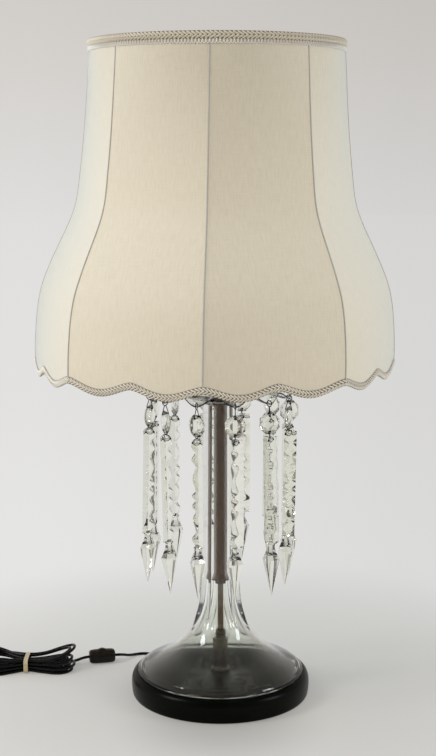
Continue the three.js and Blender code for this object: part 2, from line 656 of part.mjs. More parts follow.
for (const [name, side] of [['harp_sleeve_left', -1], ['harp_sleeve_right', 1]]) {
  const sleeve = ring(PRONG_RADIUS + SEAT, SLEEVE_RADIUS, saddleTop + SEAT,
    saddleTop + SEAT + SLEEVE_LENGTH, 12);
  add(name, sleeve.translate(side * SADDLE_HALF_SPAN, 0, 0), FINISHES.brass);
}

// Socket: cap screwed on the pipe, shell, and the core that takes the bulb
add('socket_cap', turned([
  [pipeHole, socketBottom], [CAP_RADIUS * 0.6, socketBottom], [CAP_RADIUS, socketBottom + CAP_FLOOR],
  [CAP_RADIUS, socketBottom + CAP_HEIGHT], [CAP_RADIUS - SHEET_METAL, socketBottom + CAP_HEIGHT],
  [CAP_RADIUS - SHEET_METAL, socketBottom + CAP_FLOOR + 1.5], [pipeHole, socketBottom + CAP_FLOOR + 1.5],
]), FINISHES.brass);

const shellBottom = socketBottom + CAP_FLOOR + 1.5 + SEAT;
const shellTop = shellBottom + SHELL_HEIGHT;
const shellRadius = CAP_RADIUS - SHEET_METAL - SEAT;
add('socket_shell', ring(shellRadius - SHEET_METAL, shellRadius, shellBottom, shellTop), FINISHES.brass);

// The bore clears the bulb's base at every turn of its flat sides
const coreBottom = pipeTop + SEAT * 2;
const coreFloor = coreBottom + CORE_FLOOR;
const coreBore = (BULB_BASE_RADIUS + SEAT) / Math.cos(HALF_TURN / ROUND);
add('socket_core', turned([
  [0, coreBottom], [CORE_RADIUS, coreBottom], [CORE_RADIUS, coreBottom + CORE_HEIGHT],
  [coreBore, coreBottom + CORE_HEIGHT], [coreBore, coreFloor], [0, coreFloor],
]), FINISHES.phenolic);

const bulbBottom = coreFloor + SEAT;
const bulbNeck = bulbBottom + BULB_BASE_LENGTH;
const bulbMiddle = bulbBottom + BULB_LENGTH - BULB_RADIUS;
add('bulb', turned([
  [0, bulbBottom], [BULB_BASE_RADIUS * 0.5, bulbBottom], [BULB_BASE_RADIUS, bulbBottom + 4],
  [BULB_BASE_RADIUS, bulbNeck + 2], [BULB_BASE_RADIUS + 0.8, bulbNeck + 6],
  [BULB_RADIUS * 0.68, bulbNeck + 22], [BULB_RADIUS * 0.93, bulbMiddle - 11],
  ...listOf(6, (index) => {
    const angle = HALF_TURN / 2 * index / 5;
    return [BULB_RADIUS * Math.cos(angle), bulbMiddle + BULB_RADIUS * Math.sin(angle)];
  }).map(([radius, height], index) => [index === 5 ? 0 : radius, height]),
]), FINISHES.bulb);

// One unbroken tube on the given centres, its sides kept from twisting
function flexTube(centres, radius, sides, firstSide = new THREE.Vector3(0.1, 0.2, 1)) {
  let side = firstSide;
  return skin(centres.map((centre, index) => {
    const ahead = centres[Math.min(index + 1, centres.length - 1)];
    const behind = centres[Math.max(index - 1, 0)];
    const along = ahead.clone().sub(behind).normalize();
    side = side.clone().addScaledVector(along, -side.dot(along)).normalize();
    const across = along.clone().cross(side);
    return listOf(sides, (corner) => {
      const angle = FULL_TURN * corner / sides;
      return centre.clone().addScaledVector(side, radius * Math.cos(angle))
        .addScaledVector(across, radius * Math.sin(angle));
    });
  }));
}

// Supply lead: down the pipe, across the recess and out through the bushing
const bushingEnd = BASE_RADIUS + SEAT + BUSHING_FLANGE_THICKNESS;
const towardsExit = (radius, height) => around(EXIT_TURN, radius, height);
add('supply_lead', flexTube([
  new THREE.Vector3(0, 0, pipeTop - 1), new THREE.Vector3(0, 0, 18),
  towardsExit(0.5, 12.5), towardsExit(2, 8.2), towardsExit(5.4, 5.2), towardsExit(10, 3.9),
  towardsExit(16, 3.6), towardsExit(25, 4.3), towardsExit(36, 5.9), towardsExit(46, 6.8),
  towardsExit(56, EXIT_HEIGHT), towardsExit(bushingEnd, EXIT_HEIGHT),
], CORD_RADIUS, CORD_SIDES), FINISHES.flex);

const bushingRun = (from, to, radius, endRadius = radius) =>
  rod(towardsExit(from, EXIT_HEIGHT).toArray(), towardsExit(to, EXIT_HEIGHT).toArray(), radius, 8, endRadius);
const tailEnd = bushingEnd + BUSHING_TAIL;
add('cord_bushing', cut(
  joined(bushingRun(bushingEnd - BUSHING_LENGTH, bushingEnd, BUSHING_RADIUS),
    bushingRun(BASE_RADIUS + SEAT, bushingEnd, BUSHING_RADIUS + BUSHING_FLANGE),
    bushingRun(bushingEnd - 1, tailEnd, BUSHING_RADIUS - SEAT, BUSHING_BORE + BUSHING_TAIL_WALL)),
  bushingRun(bushingEnd - BUSHING_LENGTH - 1, tailEnd + 1, BUSHING_BORE),
), FINISHES.rubber);

// Shade outline at its seams: share of the height above the hem's lowest points, and radius
const SHADE_OUTLINE = [
  [0, 199.4], [0.0219, 200.3], [0.0549, 201], [0.0933, 200.9], [0.1481, 199.8], [0.2112, 197.4],
  [0.2715, 192.6], [0.3319, 184], [0.3922, 173.8], [0.4526, 163.3], [0.4992, 156.6], [0.5403, 153],
  [0.5952, 150.4], [0.6637, 147.6], [0.7323, 145.2], [0.8118, 143], [0.8969, 141], [0.96, 139.6],
  [1, 138.8],
];

// Share of roundness between two seams: full at the top ring, flatter where the cloth is stretched
const SHADE_ROUNDNESS = [[0, 0.5], [0.1646, 0.42], [0.4388, 0.3], [0.7131, 0.45], [1, 1]];
const shadeHeight = SHADE_TOP - HEM_HEIGHT;

function shadePlace(degrees, height, offset) {
  const gore = 360 / GORES;
  const away = Math.abs((((degrees - SHADE_SEAM_TURN) % gore) + gore) % gore - gore / 2);
  const flat = Math.cos(HALF_TURN / GORES) / Math.cos(THREE.MathUtils.degToRad(away));
  const above = (height - HEM_HEIGHT) / shadeHeight;
  const round = smooth(SHADE_ROUNDNESS, above);
  const radius = smooth(SHADE_OUTLINE, above) * (flat + (1 - flat) * round);
  return around(degrees, radius - offset, height);
}

// Height of the scalloped edge, lowest in the middle of each scallop
function hemHeight(degrees) {
  const phase = (degrees - SHADE_SEAM_TURN) / (360 / SCALLOPS);
  return HEM_HEIGHT + SCALLOP_DEPTH * (1 - Math.abs(Math.sin(HALF_TURN * phase)) ** 0.9);
}

const shadeRing = (columns, heightAt, offset) => listOf(columns, (index) => {
  const degrees = SHADE_SEAM_TURN + index * 360 / columns;
  return shadePlace(degrees, heightAt(degrees), offset);
});
const shadeHeights = [0.8977, 0.692, 0.5137, 0.3903, 0.2669, 0.1434]
  .map((share) => HEM_HEIGHT + share * shadeHeight);
const level = (height) => () => height;
const coverTop = SHADE_TOP - 0.5;
const coverSide = (offset) => [
  shadeRing(SHADE_COLUMNS, level(coverTop), offset),
  ...shadeHeights.map((height) => shadeRing(SHADE_COLUMNS, level(height), offset)),
  shadeRing(SHADE_COLUMNS, hemHeight, offset),
];
add('shade_cover', skin([...coverSide(0), ...coverSide(COVER_THICKNESS).toReversed()], true),
  FINISHES.cloth);

const frameOffset = COVER_THICKNESS + SEAT * 1.5 + FRAME_WIRE;
const liningOffset = frameOffset + FRAME_WIRE + SEAT;
const liningHeights = [SHADE_TOP - LINING_TOP_DROP, ...shadeHeights, HEM_HEIGHT + LINING_HEM_RISE];
const liningSide = (offset) => liningHeights.map((height) =>
  shadeRing(LINING_COLUMNS, level(height), offset));
add('shade_lining', skin([
  ...liningSide(liningOffset), ...liningSide(liningOffset + LINING_THICKNESS).toReversed(),
], true), FINISHES.lining);

// Wire frame: round top ring, scalloped hem ring and a rib behind each seam
const wireHeights = SHADE_TOP - TOP_RING_DROP;
const wireLoop = (centres) => skin(centres.map((centre, index) => {
  const ahead = centres[(index + 1) % centres.length];
  const behind = centres[(index + centres.length - 1) % centres.length];
  const along = ahead.clone().sub(behind).normalize();
  const out = new THREE.Vector3(centre.x, centre.y, 0).normalize();
  const up = along.clone().cross(out).normalize();
  const side = up.clone().cross(along).normalize();
  return listOf(3, (corner) => {
    const angle = FULL_TURN / 3 * corner;
    return centre.clone().addScaledVector(side, FRAME_WIRE * Math.cos(angle))
      .addScaledVector(up, FRAME_WIRE * Math.sin(angle));
  });
}), true);
const lifted = (point) => point.setZ(point.z + HEM_WIRE_RISE);
const hemWire = wireLoop(shadeRing(SHADE_COLUMNS, hemHeight, frameOffset).map(lifted));
const topWire = wireLoop(shadeRing(TOP_WIRE_COLUMNS, level(wireHeights), frameOffset));
const ribs = listOf(GORES, (index) => {
  const degrees = SHADE_SEAM_TURN + index * 360 / GORES;
  const places = [wireHeights, ...shadeHeights, hemHeight(degrees)].map((height) =>
    shadePlace(degrees, height, frameOffset));
  lifted(places.at(-1));
  return flexTube(places, FRAME_WIRE * 0.9, 3, around(degrees, 1, 0));
});
add('shade_frame', joined(topWire, hemWire, ...ribs), FINISHES.wire);

// Braid along both edges
const trimBand = (columns, bottomAt, topAt) => skin([
  shadeRing(columns, bottomAt, -TRIM_EASE), shadeRing(columns, bottomAt, -TRIM_EASE - TRIM_THICKNESS),
  shadeRing(columns, topAt, -TRIM_EASE - TRIM_THICKNESS), shadeRing(columns, topAt, -TRIM_EASE),
], true);
add('top_gimp', trimBand(SHADE_COLUMNS, level(SHADE_TOP - TOP_TRIM_HEIGHT), level(SHADE_TOP)),
  FINISHES.braid);
add('bottom_gimp', trimBand(SHADE_COLUMNS, (degrees) => hemHeight(degrees) - SEAT,
  (degrees) => hemHeight(degrees) + HEM_TRIM_HEIGHT - SEAT), FINISHES.braid);

// Spider: three arms from the top ring down to the underside of the washer on the harp
const arms = listOf(SPIDER_ARMS, (index) => {
  const degrees = SHADE_SEAM_TURN + 180 + index * 360 / SPIDER_ARMS;
  const reach = shadePlace(degrees, wireHeights, frameOffset).setZ(0).length() - FRAME_WIRE - SEAT;
  return tube([
    around(degrees, SPIDER_RING_RADIUS - 1.5, spiderBottom),
    ...[[0.26, 0.05], [0.53, 0.5], [0.8, 0.95], [0.9, 1], [1, 1]].map(([out, up]) =>
      around(degrees, reach * out, THREE.MathUtils.lerp(spiderBottom, wireHeights, up))),
  ], SPIDER_WIRE, 6, 5);
});
add('shade_spider', joined(
  ring(HARP_STUD_RADIUS + SEAT, SPIDER_RING_RADIUS, spiderBottom, spiderBottom + SPIDER_RING_THICKNESS),
  ...arms,
), FINISHES.brass);

const finialBottom = spiderBottom + SPIDER_RING_THICKNESS + SEAT;
const studBore = HARP_STUD_RADIUS + SEAT;
const studTop = harpTop + HARP_STUD_LENGTH + SEAT;
add('finial', turned([
  [0, studTop], [studBore, studTop], [studBore, finialBottom], [FINIAL_RADIUS, finialBottom],
  [FINIAL_RADIUS, finialBottom + 3], [FINIAL_RADIUS * 0.62, finialBottom + 6],
  [FINIAL_RADIUS * 0.98, finialBottom + 11], [FINIAL_RADIUS * 0.86, finialBottom + 16.5],
  [FINIAL_RADIUS * 0.4, finialBottom + FINIAL_HEIGHT - 1], [0, finialBottom + FINIAL_HEIGHT],
]), FINISHES.brass);

// Flex, switch, hank, tie and plug: they keep their lay and start where the bushing ends
const flexPlace = new THREE.Group();
flexPlace.position.copy(towardsExit(bushingEnd + SEAT, EXIT_HEIGHT)).sub(new THREE.Vector3(...CORD_ROUTE[0]))
  .setZ(0);
lamp.add(flexPlace);
add('cord_lead', tube(CORD_ROUTE, CORD_RADIUS, CORD_STEPS, CORD_SIDES), FINISHES.flex, flexPlace);

const switchPlace = new THREE.Group();
switchPlace.position.set(...SWITCH_AT);
switchPlace.rotation.z = THREE.MathUtils.degToRad(SWITCH_TURN);
flexPlace.add(switchPlace);
const barrel = skin([
  [-0.5, 0.76], [-0.42, 0.94], [0, 1], [0.42, 0.94], [0.5, 0.76],
].map(([along, share]) => listOf(12, (index) => {
  const angle = FULL_TURN * (index + 0.5) / 12;
  const squarer = (value) => Math.sign(value) * Math.abs(value) ** 0.7;
  return new THREE.Vector3(along * SWITCH_LENGTH, SWITCH_WIDTH / 2 * share * squarer(Math.cos(angle)),
    SWITCH_HEIGHT / 2 * share * squarer(Math.sin(angle)));
})));
const acrossRod = (length, radius, sides) =>
  rod([0, -length / 2, DIAL_RISE], [0, length / 2, DIAL_RISE], radius, sides);
const dialSpace = joined(acrossRod(DIAL_THICKNESS + 2 * SEAT, DIAL_RADIUS + 2 * SEAT, 16),
  acrossRod(DIAL_THICKNESS + 2 * DIAL_AXLE_LENGTH + 2 * SEAT, DIAL_AXLE_RADIUS + SEAT, 12));
const hollowBarrel = cut(barrel, dialSpace);
const half = (bottom, top) => common(hollowBarrel,
  block([-SWITCH_LENGTH, -SWITCH_WIDTH, bottom], [SWITCH_LENGTH, SWITCH_WIDTH, top]));
add('switch_base', half(-SWITCH_HEIGHT, DIAL_RISE - SEAT / 2), FINISHES.bakelite, switchPlace);
add('switch_cover', half(DIAL_RISE + SEAT / 2, SWITCH_HEIGHT), FINISHES.bakelite, switchPlace);
add('switch_dial', joined(acrossRod(DIAL_THICKNESS, DIAL_RADIUS, 16),
  acrossRod(DIAL_THICKNESS + 2 * DIAL_AXLE_LENGTH, DIAL_AXLE_RADIUS, 12)), FINISHES.bakelite, switchPlace);

// Hank: loops with round ends, drawn in at the tie. They spiral in and out again, one layer on another
const towardsWaist = (share) => (1 - Math.cos(HALF_TURN * Math.min(share, 1))) / 2;

function hankOutline(step, inward) {
  const stepsPerLoop = 2 * (HANK_END_STEPS + HANK_RUN_STEPS);
  const at = ((step % stepsPerLoop) + stepsPerLoop) % stepsPerLoop;
  const leftCentre = HANK_LEFT_LOBE - HANK_HALF_LENGTH;
  const rightCentre = HANK_HALF_LENGTH - HANK_RIGHT_LOBE;
  const run = (share, side) => {
    const x = share < 0.5 ? rightCentre * (1 - 2 * share) : leftCentre * (2 * share - 1);
    const lobe = x < 0 ? HANK_LEFT_LOBE : HANK_RIGHT_LOBE;
    const reach = x < 0 ? -leftCentre : rightCentre;
    const width = HANK_WAIST + (lobe - HANK_WAIST) * towardsWaist(Math.abs(x) / reach);
    return [x, side * (width - inward)];
  };
  const end = (share, centre, lobe, from) => {
    const angle = from + HALF_TURN * share;
    return [centre + (lobe - inward) * Math.cos(angle), (lobe - inward) * Math.sin(angle)];
  };
  if (at < HANK_RUN_STEPS) return run(at / HANK_RUN_STEPS, 1);
  if (at < HANK_RUN_STEPS + HANK_END_STEPS) {
    return end((at - HANK_RUN_STEPS) / HANK_END_STEPS, leftCentre, HANK_LEFT_LOBE, HALF_TURN / 2);
  }
  if (at < 2 * HANK_RUN_STEPS + HANK_END_STEPS) {
    return run(1 - (at - HANK_RUN_STEPS - HANK_END_STEPS) / HANK_RUN_STEPS, -1);
  }
  return end((at - 2 * HANK_RUN_STEPS - HANK_END_STEPS) / HANK_END_STEPS, rightCentre,
    HANK_RIGHT_LOBE, -HALF_TURN / 2);
}

const stepsPerLoop = 2 * (HANK_END_STEPS + HANK_RUN_STEPS);
const stepsPerLayer = stepsPerLoop * HANK_LOOPS_PER_LAYER;
const tieLift = TIE_THICKNESS + 2 * SEAT;

function hankPlace(step) {
  const layer = Math.min(Math.floor(step / stepsPerLayer), HANK_LAYERS - 1);
  const within = step - layer * stepsPerLayer;
  const last = layer === HANK_LAYERS - 1;
  const rest = HANK_RUN_STEPS;
  const share = Math.min(1, Math.max(0, within - rest) / (stepsPerLayer - rest));
  const inward = HANK_PITCH * HANK_LOOPS_PER_LAYER * (layer % 2 ? 1 - share : share);
  const climb = layer === 0 ? 1 : Math.min(1, within / rest);
  const [x, y] = hankOutline(step, last && within >= stepsPerLayer ? 0 : inward);
  const low = CORD_RADIUS + 0.1 + tieLift * Math.exp(-((x / (HANK_WAIST * 1.6)) ** 2));
  const height = low + HANK_LAYER_RISE * (layer - 1 + (layer === 0 ? 1 : climb));
  return new THREE.Vector3(HANK_AT[0] + x, HANK_AT[1] + y, height);
}

const hankSteps = stepsPerLayer * HANK_LAYERS + HANK_RUN_STEPS;
const asPoints = (points) => points.map((point) => new THREE.Vector3(...point));
const hankCentres = [
  ...asPoints(HANK_LEAD_IN), ...listOf(hankSteps + 1, hankPlace).slice(1), ...asPoints(HANK_TAIL),
];

add('cord_hank', flexTube(hankCentres, CORD_RADIUS, WIRE_SIDES), FINISHES.flex, flexPlace);

// Least gap of the hank to itself, between points that aren't neighbours along the flex
function leastGap(centres, spacing) {
  const fine = new THREE.CurvePath();
  centres.slice(1).forEach((point, index) => fine.add(new THREE.LineCurve3(centres[index], point)));
  const points = fine.getSpacedPoints(Math.round(fine.getLength() / spacing));
  const apart = Math.ceil(6 * CORD_RADIUS / spacing);
  let least = Infinity;
  points.forEach((point, index) => {
    for (let other = index + apart; other < points.length; other += 1) {
      least = Math.min(least, point.distanceTo(points[other]));
    }
  });
  return [least - 2 * CORD_RADIUS, fine.getLength()];
}
const [hankGap, hankLength] = leastGap(hankCentres, 1);
console.log(`hank: least gap to itself ${hankGap.toFixed(2)} mm, flex in it ${hankLength.toFixed(0)} mm`);

// Band round the waist of the hank
const tieHalfWidth = HANK_WAIST + CORD_RADIUS + TIE_EASE;
const tieTop = tieLift + 2 * CORD_RADIUS + HANK_LAYER_RISE * (HANK_LAYERS - 1) + 0.1 + SEAT;
const tieLoop = (grow, along) => {
  const corner = 3 + grow;
  const [low, high] = [TIE_THICKNESS + SEAT - grow, tieTop + grow];
  return [[1, low + corner, -90], [1, high - corner, 0], [-1, high - corner, 90], [-1, low + corner, 180]]
    .flatMap(([side, height, from]) => listOf(3, (index) => {
      const angle = THREE.MathUtils.degToRad(from + 45 * index);
      return new THREE.Vector3(HANK_AT[0] + along,
        HANK_AT[1] + side * (tieHalfWidth + grow - corner) + corner * Math.cos(angle),
        height + corner * Math.sin(angle));
    }));
};
add('cord_tie', skin([
  tieLoop(0, -TIE_WIDTH / 2), tieLoop(TIE_THICKNESS, -TIE_WIDTH / 2),
  tieLoop(TIE_THICKNESS, TIE_WIDTH / 2), tieLoop(0, TIE_WIDTH / 2),
], true), FINISHES.band, flexPlace);

// Two-blade plug
const plugPlace = new THREE.Group();
plugPlace.position.set(...PLUG_AT);
flexPlace.add(plugPlace);
const plugBody = skin([[0, 0.4], [-0.12, 0.62], [-0.3, 0.8], [-0.7, 1], [-1, 1]].map(([along, share]) =>
  listOf(12, (index) => {
    const angle = FULL_TURN * (index + 0.5) / 12;
    const squarer = (value) => Math.sign(value) * Math.abs(value) ** 0.65;
    return new THREE.Vector3(along * PLUG_LENGTH, PLUG_WIDTH / 2 * share * squarer(Math.cos(angle)),
      PLUG_HEIGHT / 2 * share * squarer(Math.sin(angle)));
  })));
const blade = (side) => block(
  [-PLUG_LENGTH - BLADE_LENGTH, side * BLADE_SPACING / 2 - BLADE_THICKNESS / 2, -BLADE_WIDTH / 2],
  [-PLUG_LENGTH + 1, side * BLADE_SPACING / 2 + BLADE_THICKNESS / 2, BLADE_WIDTH / 2]);
add('plug', joined(plugBody, blade(-1), blade(1)), FINISHES.bakelite, plugPlace);

export default lamp;
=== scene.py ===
# A cut-glass table lamp: black turned base, panel-cut column, a glass dish hung with crystal drops,
# a stretched fabric shade on a harp, and its flex tied in a hank. Metres, +Z up, the front faces -Y.
import json
import math

import bmesh
import bpy
from mathutils import Matrix, Vector


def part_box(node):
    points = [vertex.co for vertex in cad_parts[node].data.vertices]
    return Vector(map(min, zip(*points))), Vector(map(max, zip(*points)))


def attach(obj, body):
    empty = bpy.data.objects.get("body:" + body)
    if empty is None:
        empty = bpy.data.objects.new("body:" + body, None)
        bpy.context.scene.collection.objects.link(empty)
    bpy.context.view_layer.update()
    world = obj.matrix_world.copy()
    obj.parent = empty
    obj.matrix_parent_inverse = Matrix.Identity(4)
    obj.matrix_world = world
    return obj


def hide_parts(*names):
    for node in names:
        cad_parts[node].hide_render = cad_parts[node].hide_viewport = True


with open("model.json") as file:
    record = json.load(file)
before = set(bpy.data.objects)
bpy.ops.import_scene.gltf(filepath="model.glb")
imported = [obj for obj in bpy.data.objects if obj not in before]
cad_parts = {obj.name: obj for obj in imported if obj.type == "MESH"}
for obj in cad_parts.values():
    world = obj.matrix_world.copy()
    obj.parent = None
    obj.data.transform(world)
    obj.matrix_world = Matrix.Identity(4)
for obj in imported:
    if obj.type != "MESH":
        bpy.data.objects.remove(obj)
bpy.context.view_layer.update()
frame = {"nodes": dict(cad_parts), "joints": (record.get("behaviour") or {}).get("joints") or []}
MM = 0.001


# Camera: it stands where the photograph was taken from, 1.57 m in front of the lamp and looking
# down 8 degrees. Its lens and shift give the photograph's frame of 436 by 756 pixels.
PHOTO_WIDTH, PHOTO_HEIGHT = 436, 756
FOCAL_PIXELS = 1417
CENTRE_PIXEL = (220.3, 350.3)
CAMERA_AT, LOOKING_DOWN = (0, -1.571, 0.6215), 8.12

camera = bpy.data.objects.new("camera", bpy.data.cameras.new("camera"))
bpy.context.collection.objects.link(camera)
camera.location = CAMERA_AT
camera.rotation_euler = (math.radians(90 - LOOKING_DOWN), 0, 0)
camera.data.sensor_width = 36
camera.data.lens = camera.data.sensor_width * FOCAL_PIXELS / PHOTO_HEIGHT
camera.data.shift_x = (PHOTO_WIDTH / 2 - CENTRE_PIXEL[0]) / PHOTO_HEIGHT
camera.data.shift_y = (CENTRE_PIXEL[1] - PHOTO_HEIGHT / 2) / PHOTO_HEIGHT
bpy.context.scene.camera = camera
bpy.context.scene.view_settings.view_transform = "Standard"


# Studio: a pale sweep of paper. Painted shadow darkens it close in front of the base, and painted shade
# darkens its glow near the lamp and on its right. Soft light comes from both sides, more of it from the
# left, and the glass mirrors two softboxes. The room in front of the lamp is dim, which gives the glass its
# dark edges.
def place(tree, kind, sockets=(), **settings):
    made = tree.nodes.new("ShaderNode" + kind)
    for name, value in settings.items():
        setattr(made, name, value)
    for key, value in dict(sockets).items():
        if isinstance(value, bpy.types.NodeSocket):
            tree.links.new(value, made.inputs[key])
        else:
            made.inputs[key].default_value = value
    return made


def maths(tree, operation, first, second, **settings):
    return place(tree, "Math", {0: first, 1: second}, operation=operation, **settings).outputs[0]


def mix(tree, share, first, second):
    return place(tree, "MixRGB", {0: share, 1: first, 2: second}).outputs[0]


def level(tree, value, low, high, low_gives=0.0, high_gives=1.0, **settings):
    return place(tree, "MapRange", {"Value": value, "From Min": low, "From Max": high, "To Min": low_gives,
                                    "To Max": high_gives}, **settings).outputs[0]


def dimmed(tree, colour, amount):
    return place(tree, "VectorMath", {0: colour, "Scale": amount}, operation="SCALE").outputs[0]


def ramp(tree, factor, stops):
    made = place(tree, "ValToRGB", {0: factor})
    elements = made.color_ramp.elements
    while len(elements) < len(stops):
        elements.new(1)
    for element, (position, colour) in zip(elements, stops):
        element.position = position
        element.color = (*colour, 1)
    return made.outputs["Color"]


WALL_BY_HEIGHT = [(0.0, (0.735, 0.730, 0.720)), (0.42, (0.735, 0.728, 0.718)),
                  (0.65, (0.645, 0.617, 0.584)), (1.0, (0.56, 0.54, 0.51))]
WALL_HEIGHT, SIDE_REACH, WALL_RIGHT_DIM = 0.3, 0.13, 0.89
DIM_ROOM, DIM_ROOM_FROM = 0.40, (-0.88, -0.50)
DIM_CEILING, DIM_CEILING_FROM = 0.35, (0.35, 0.75)
EVEN_LIGHT = (0.225, 0.203, 0.170)
GLOWS = [(-65, 10, 1.5, (0.96, 0.97, 0.97)), (85, 10, 1.5, (0.56, 0.58, 0.60)),
         (-112, 5, 1.5, (0.36, 0.64, 1.12)), (112, 5, 1.5, (0.36, 0.60, 0.98)),
         (0, 90, 1.0, (0.07, 0.06, 0.05))]

world = bpy.data.worlds.new("studio")
world.use_nodes = True
bpy.context.scene.world = world
room = world.node_tree
room.nodes.clear()
heading = place(room, "TexCoord").outputs["Generated"]
towards = place(room, "SeparateXYZ", {0: heading}).outputs


def glow(before, turn, rise, sharpness, colour):
    turn, rise = math.radians(turn), math.radians(rise)
    axis = (math.sin(turn) * math.cos(rise), -math.cos(turn) * math.cos(rise), math.sin(rise))
    facing = place(room, "VectorMath", {0: heading, 1: axis}, operation="DOT_PRODUCT").outputs["Value"]
    shaped = maths(room, "POWER", maths(room, "MAXIMUM", facing, 0.0), sharpness)
    return place(room, "VectorMath", {0: dimmed(room, colour, shaped), 1: before}, operation="ADD").outputs[0]


wall = ramp(room, level(room, towards["Z"], -WALL_HEIGHT, WALL_HEIGHT), WALL_BY_HEIGHT)
wall = dimmed(room, wall, level(room, towards["X"], -SIDE_REACH, SIDE_REACH, 1.0, WALL_RIGHT_DIM))
mirrored = dimmed(room, wall, level(room, towards["Y"], *DIM_ROOM_FROM, DIM_ROOM, 1.0))
mirrored = dimmed(room, mirrored, level(room, towards["Z"], *DIM_CEILING_FROM, 1.0, DIM_CEILING))
lighting = EVEN_LIGHT
for direction in GLOWS:
    lighting = glow(lighting, *direction)
room_rays = place(room, "LightPath").outputs
through_glass = maths(room, "MAXIMUM", room_rays["Is Glossy Ray"], room_rays["Is Transmission Ray"])
surroundings = mix(room, room_rays["Is Camera Ray"], mix(room, through_glass, lighting, mirrored), wall)
sky = place(room, "Background", {"Color": surroundings})
room.links.new(sky.outputs[0], place(room, "OutputWorld").inputs["Surface"])

SOFTBOXES = {"softbox_left": ((-1.43, -0.46, 1.24), 10), "softbox_right": ((1.59, -0.46, 0.95), 7)}
SOFTBOX_SIZE, SOFTBOX_COLOUR, SOFTBOX_AIM = (0.42, 0.60), (0.97, 1.0, 1.04), Vector((0, 0, 0.35))
for name, (spot, power) in SOFTBOXES.items():
    lamp = bpy.data.objects.new(name, bpy.data.lights.new(name, "AREA"))
    lamp.data.shape = "RECTANGLE"
    lamp.data.size, lamp.data.size_y = SOFTBOX_SIZE
    lamp.data.energy = power
    lamp.data.color = SOFTBOX_COLOUR
    lamp.location = spot
    lamp.rotation_euler = (SOFTBOX_AIM - Vector(spot)).to_track_quat("-Z", "Y").to_euler()
    bpy.context.collection.objects.link(lamp)

FLOOR_RADIUS, FLOOR_SIDES = 12, 96
floor_bm = bmesh.new()
bmesh.ops.create_circle(floor_bm, cap_ends=True, radius=FLOOR_RADIUS, segments=FLOOR_SIDES)
floor = bpy.data.objects.new("floor", bpy.data.meshes.new("floor"))
floor_bm.to_mesh(floor.data)
floor_bm.free()
bpy.context.collection.objects.link(floor)

PAPER_COLOUR = (0.655, 0.607, 0.525)
# Painted shade: the paper's glow is darker within half a metre of the lamp, where the lamp shades the floor.
SWEEP_WITH_PAINTED_SHADE = [(0.010, (0.62, 0.608, 0.568)), (0.017, (0.665, 0.653, 0.615)),
                     (0.029, (0.73, 0.722, 0.698)), (0.042, (0.79, 0.787, 0.778)),
                     (0.16, (0.76, 0.755, 0.745)), (1.0, (0.735, 0.728, 0.718))]
FRONT_OF_BASE, FRONT_PAINTED_SHADOW, FRONT_REACH = (0, -0.10, 0), 0.76, (0.02, 0.13)
NEAREST_DEPTH, PAPER_RIGHT_PAINTED_SHADE = 0.9, 0.9
SHADOW_REACH, PAINTED_NEAR = (0.12, 0.62), 0.35
paper = bpy.data.materials.new("paper")
paper.use_nodes = True
ground = paper.node_tree
matt = ground.nodes["Principled BSDF"]
matt.inputs["Roughness"].default_value = 0.9
matt.inputs["Specular IOR Level"].default_value = 0.1
on_paper = place(ground, "TexCoord").outputs["Object"]
from_front = place(ground, "VectorMath", {0: on_paper, 1: FRONT_OF_BASE},
                   operation="DISTANCE").outputs["Value"]
# Painted shadow: the paper's colour and glow are darker close in front of the base.
painted_front_shadow = level(ground, from_front, *FRONT_REACH, FRONT_PAINTED_SHADOW, 1, interpolation_type="SMOOTHSTEP")
ground.links.new(dimmed(ground, PAPER_COLOUR, painted_front_shadow), matt.inputs["Base Color"])
away = place(ground, "VectorMath", {0: on_paper}, operation="LENGTH").outputs["Value"]
across = place(ground, "SeparateXYZ", {0: on_paper}).outputs
depth = maths(ground, "MAXIMUM", maths(ground, "ADD", across["Y"], -camera.location.y), NEAREST_DEPTH)
to_the_side = maths(ground, "DIVIDE", across["X"], depth)
sweep = ramp(ground, level(ground, away, 0, FLOOR_RADIUS), SWEEP_WITH_PAINTED_SHADE)
# Painted shade: the glow is dimmed on the right, away from the brighter light on the left.
sweep = dimmed(ground, sweep, level(ground, to_the_side, -SIDE_REACH, SIDE_REACH, 1, PAPER_RIGHT_PAINTED_SHADE))
backdrop = place(ground, "Emission", {"Color": dimmed(ground, sweep, painted_front_shadow)})
rays = place(ground, "LightPath").outputs
seen = maths(ground, "MAXIMUM", rays["Is Camera Ray"], rays["Is Glossy Ray"])
seen = maths(ground, "MAXIMUM", seen, rays["Is Transmission Ray"])
far = level(ground, away, *SHADOW_REACH, PAINTED_NEAR, 1, interpolation_type="SMOOTHSTEP")
swept = place(ground, "MixShader", {0: maths(ground, "MULTIPLY", seen, far), 1: matt.outputs[0],
                                    2: backdrop.outputs[0]})
ground.links.new(swept.outputs[0], ground.nodes["Material Output"].inputs["Surface"])
floor.data.materials.append(paper)


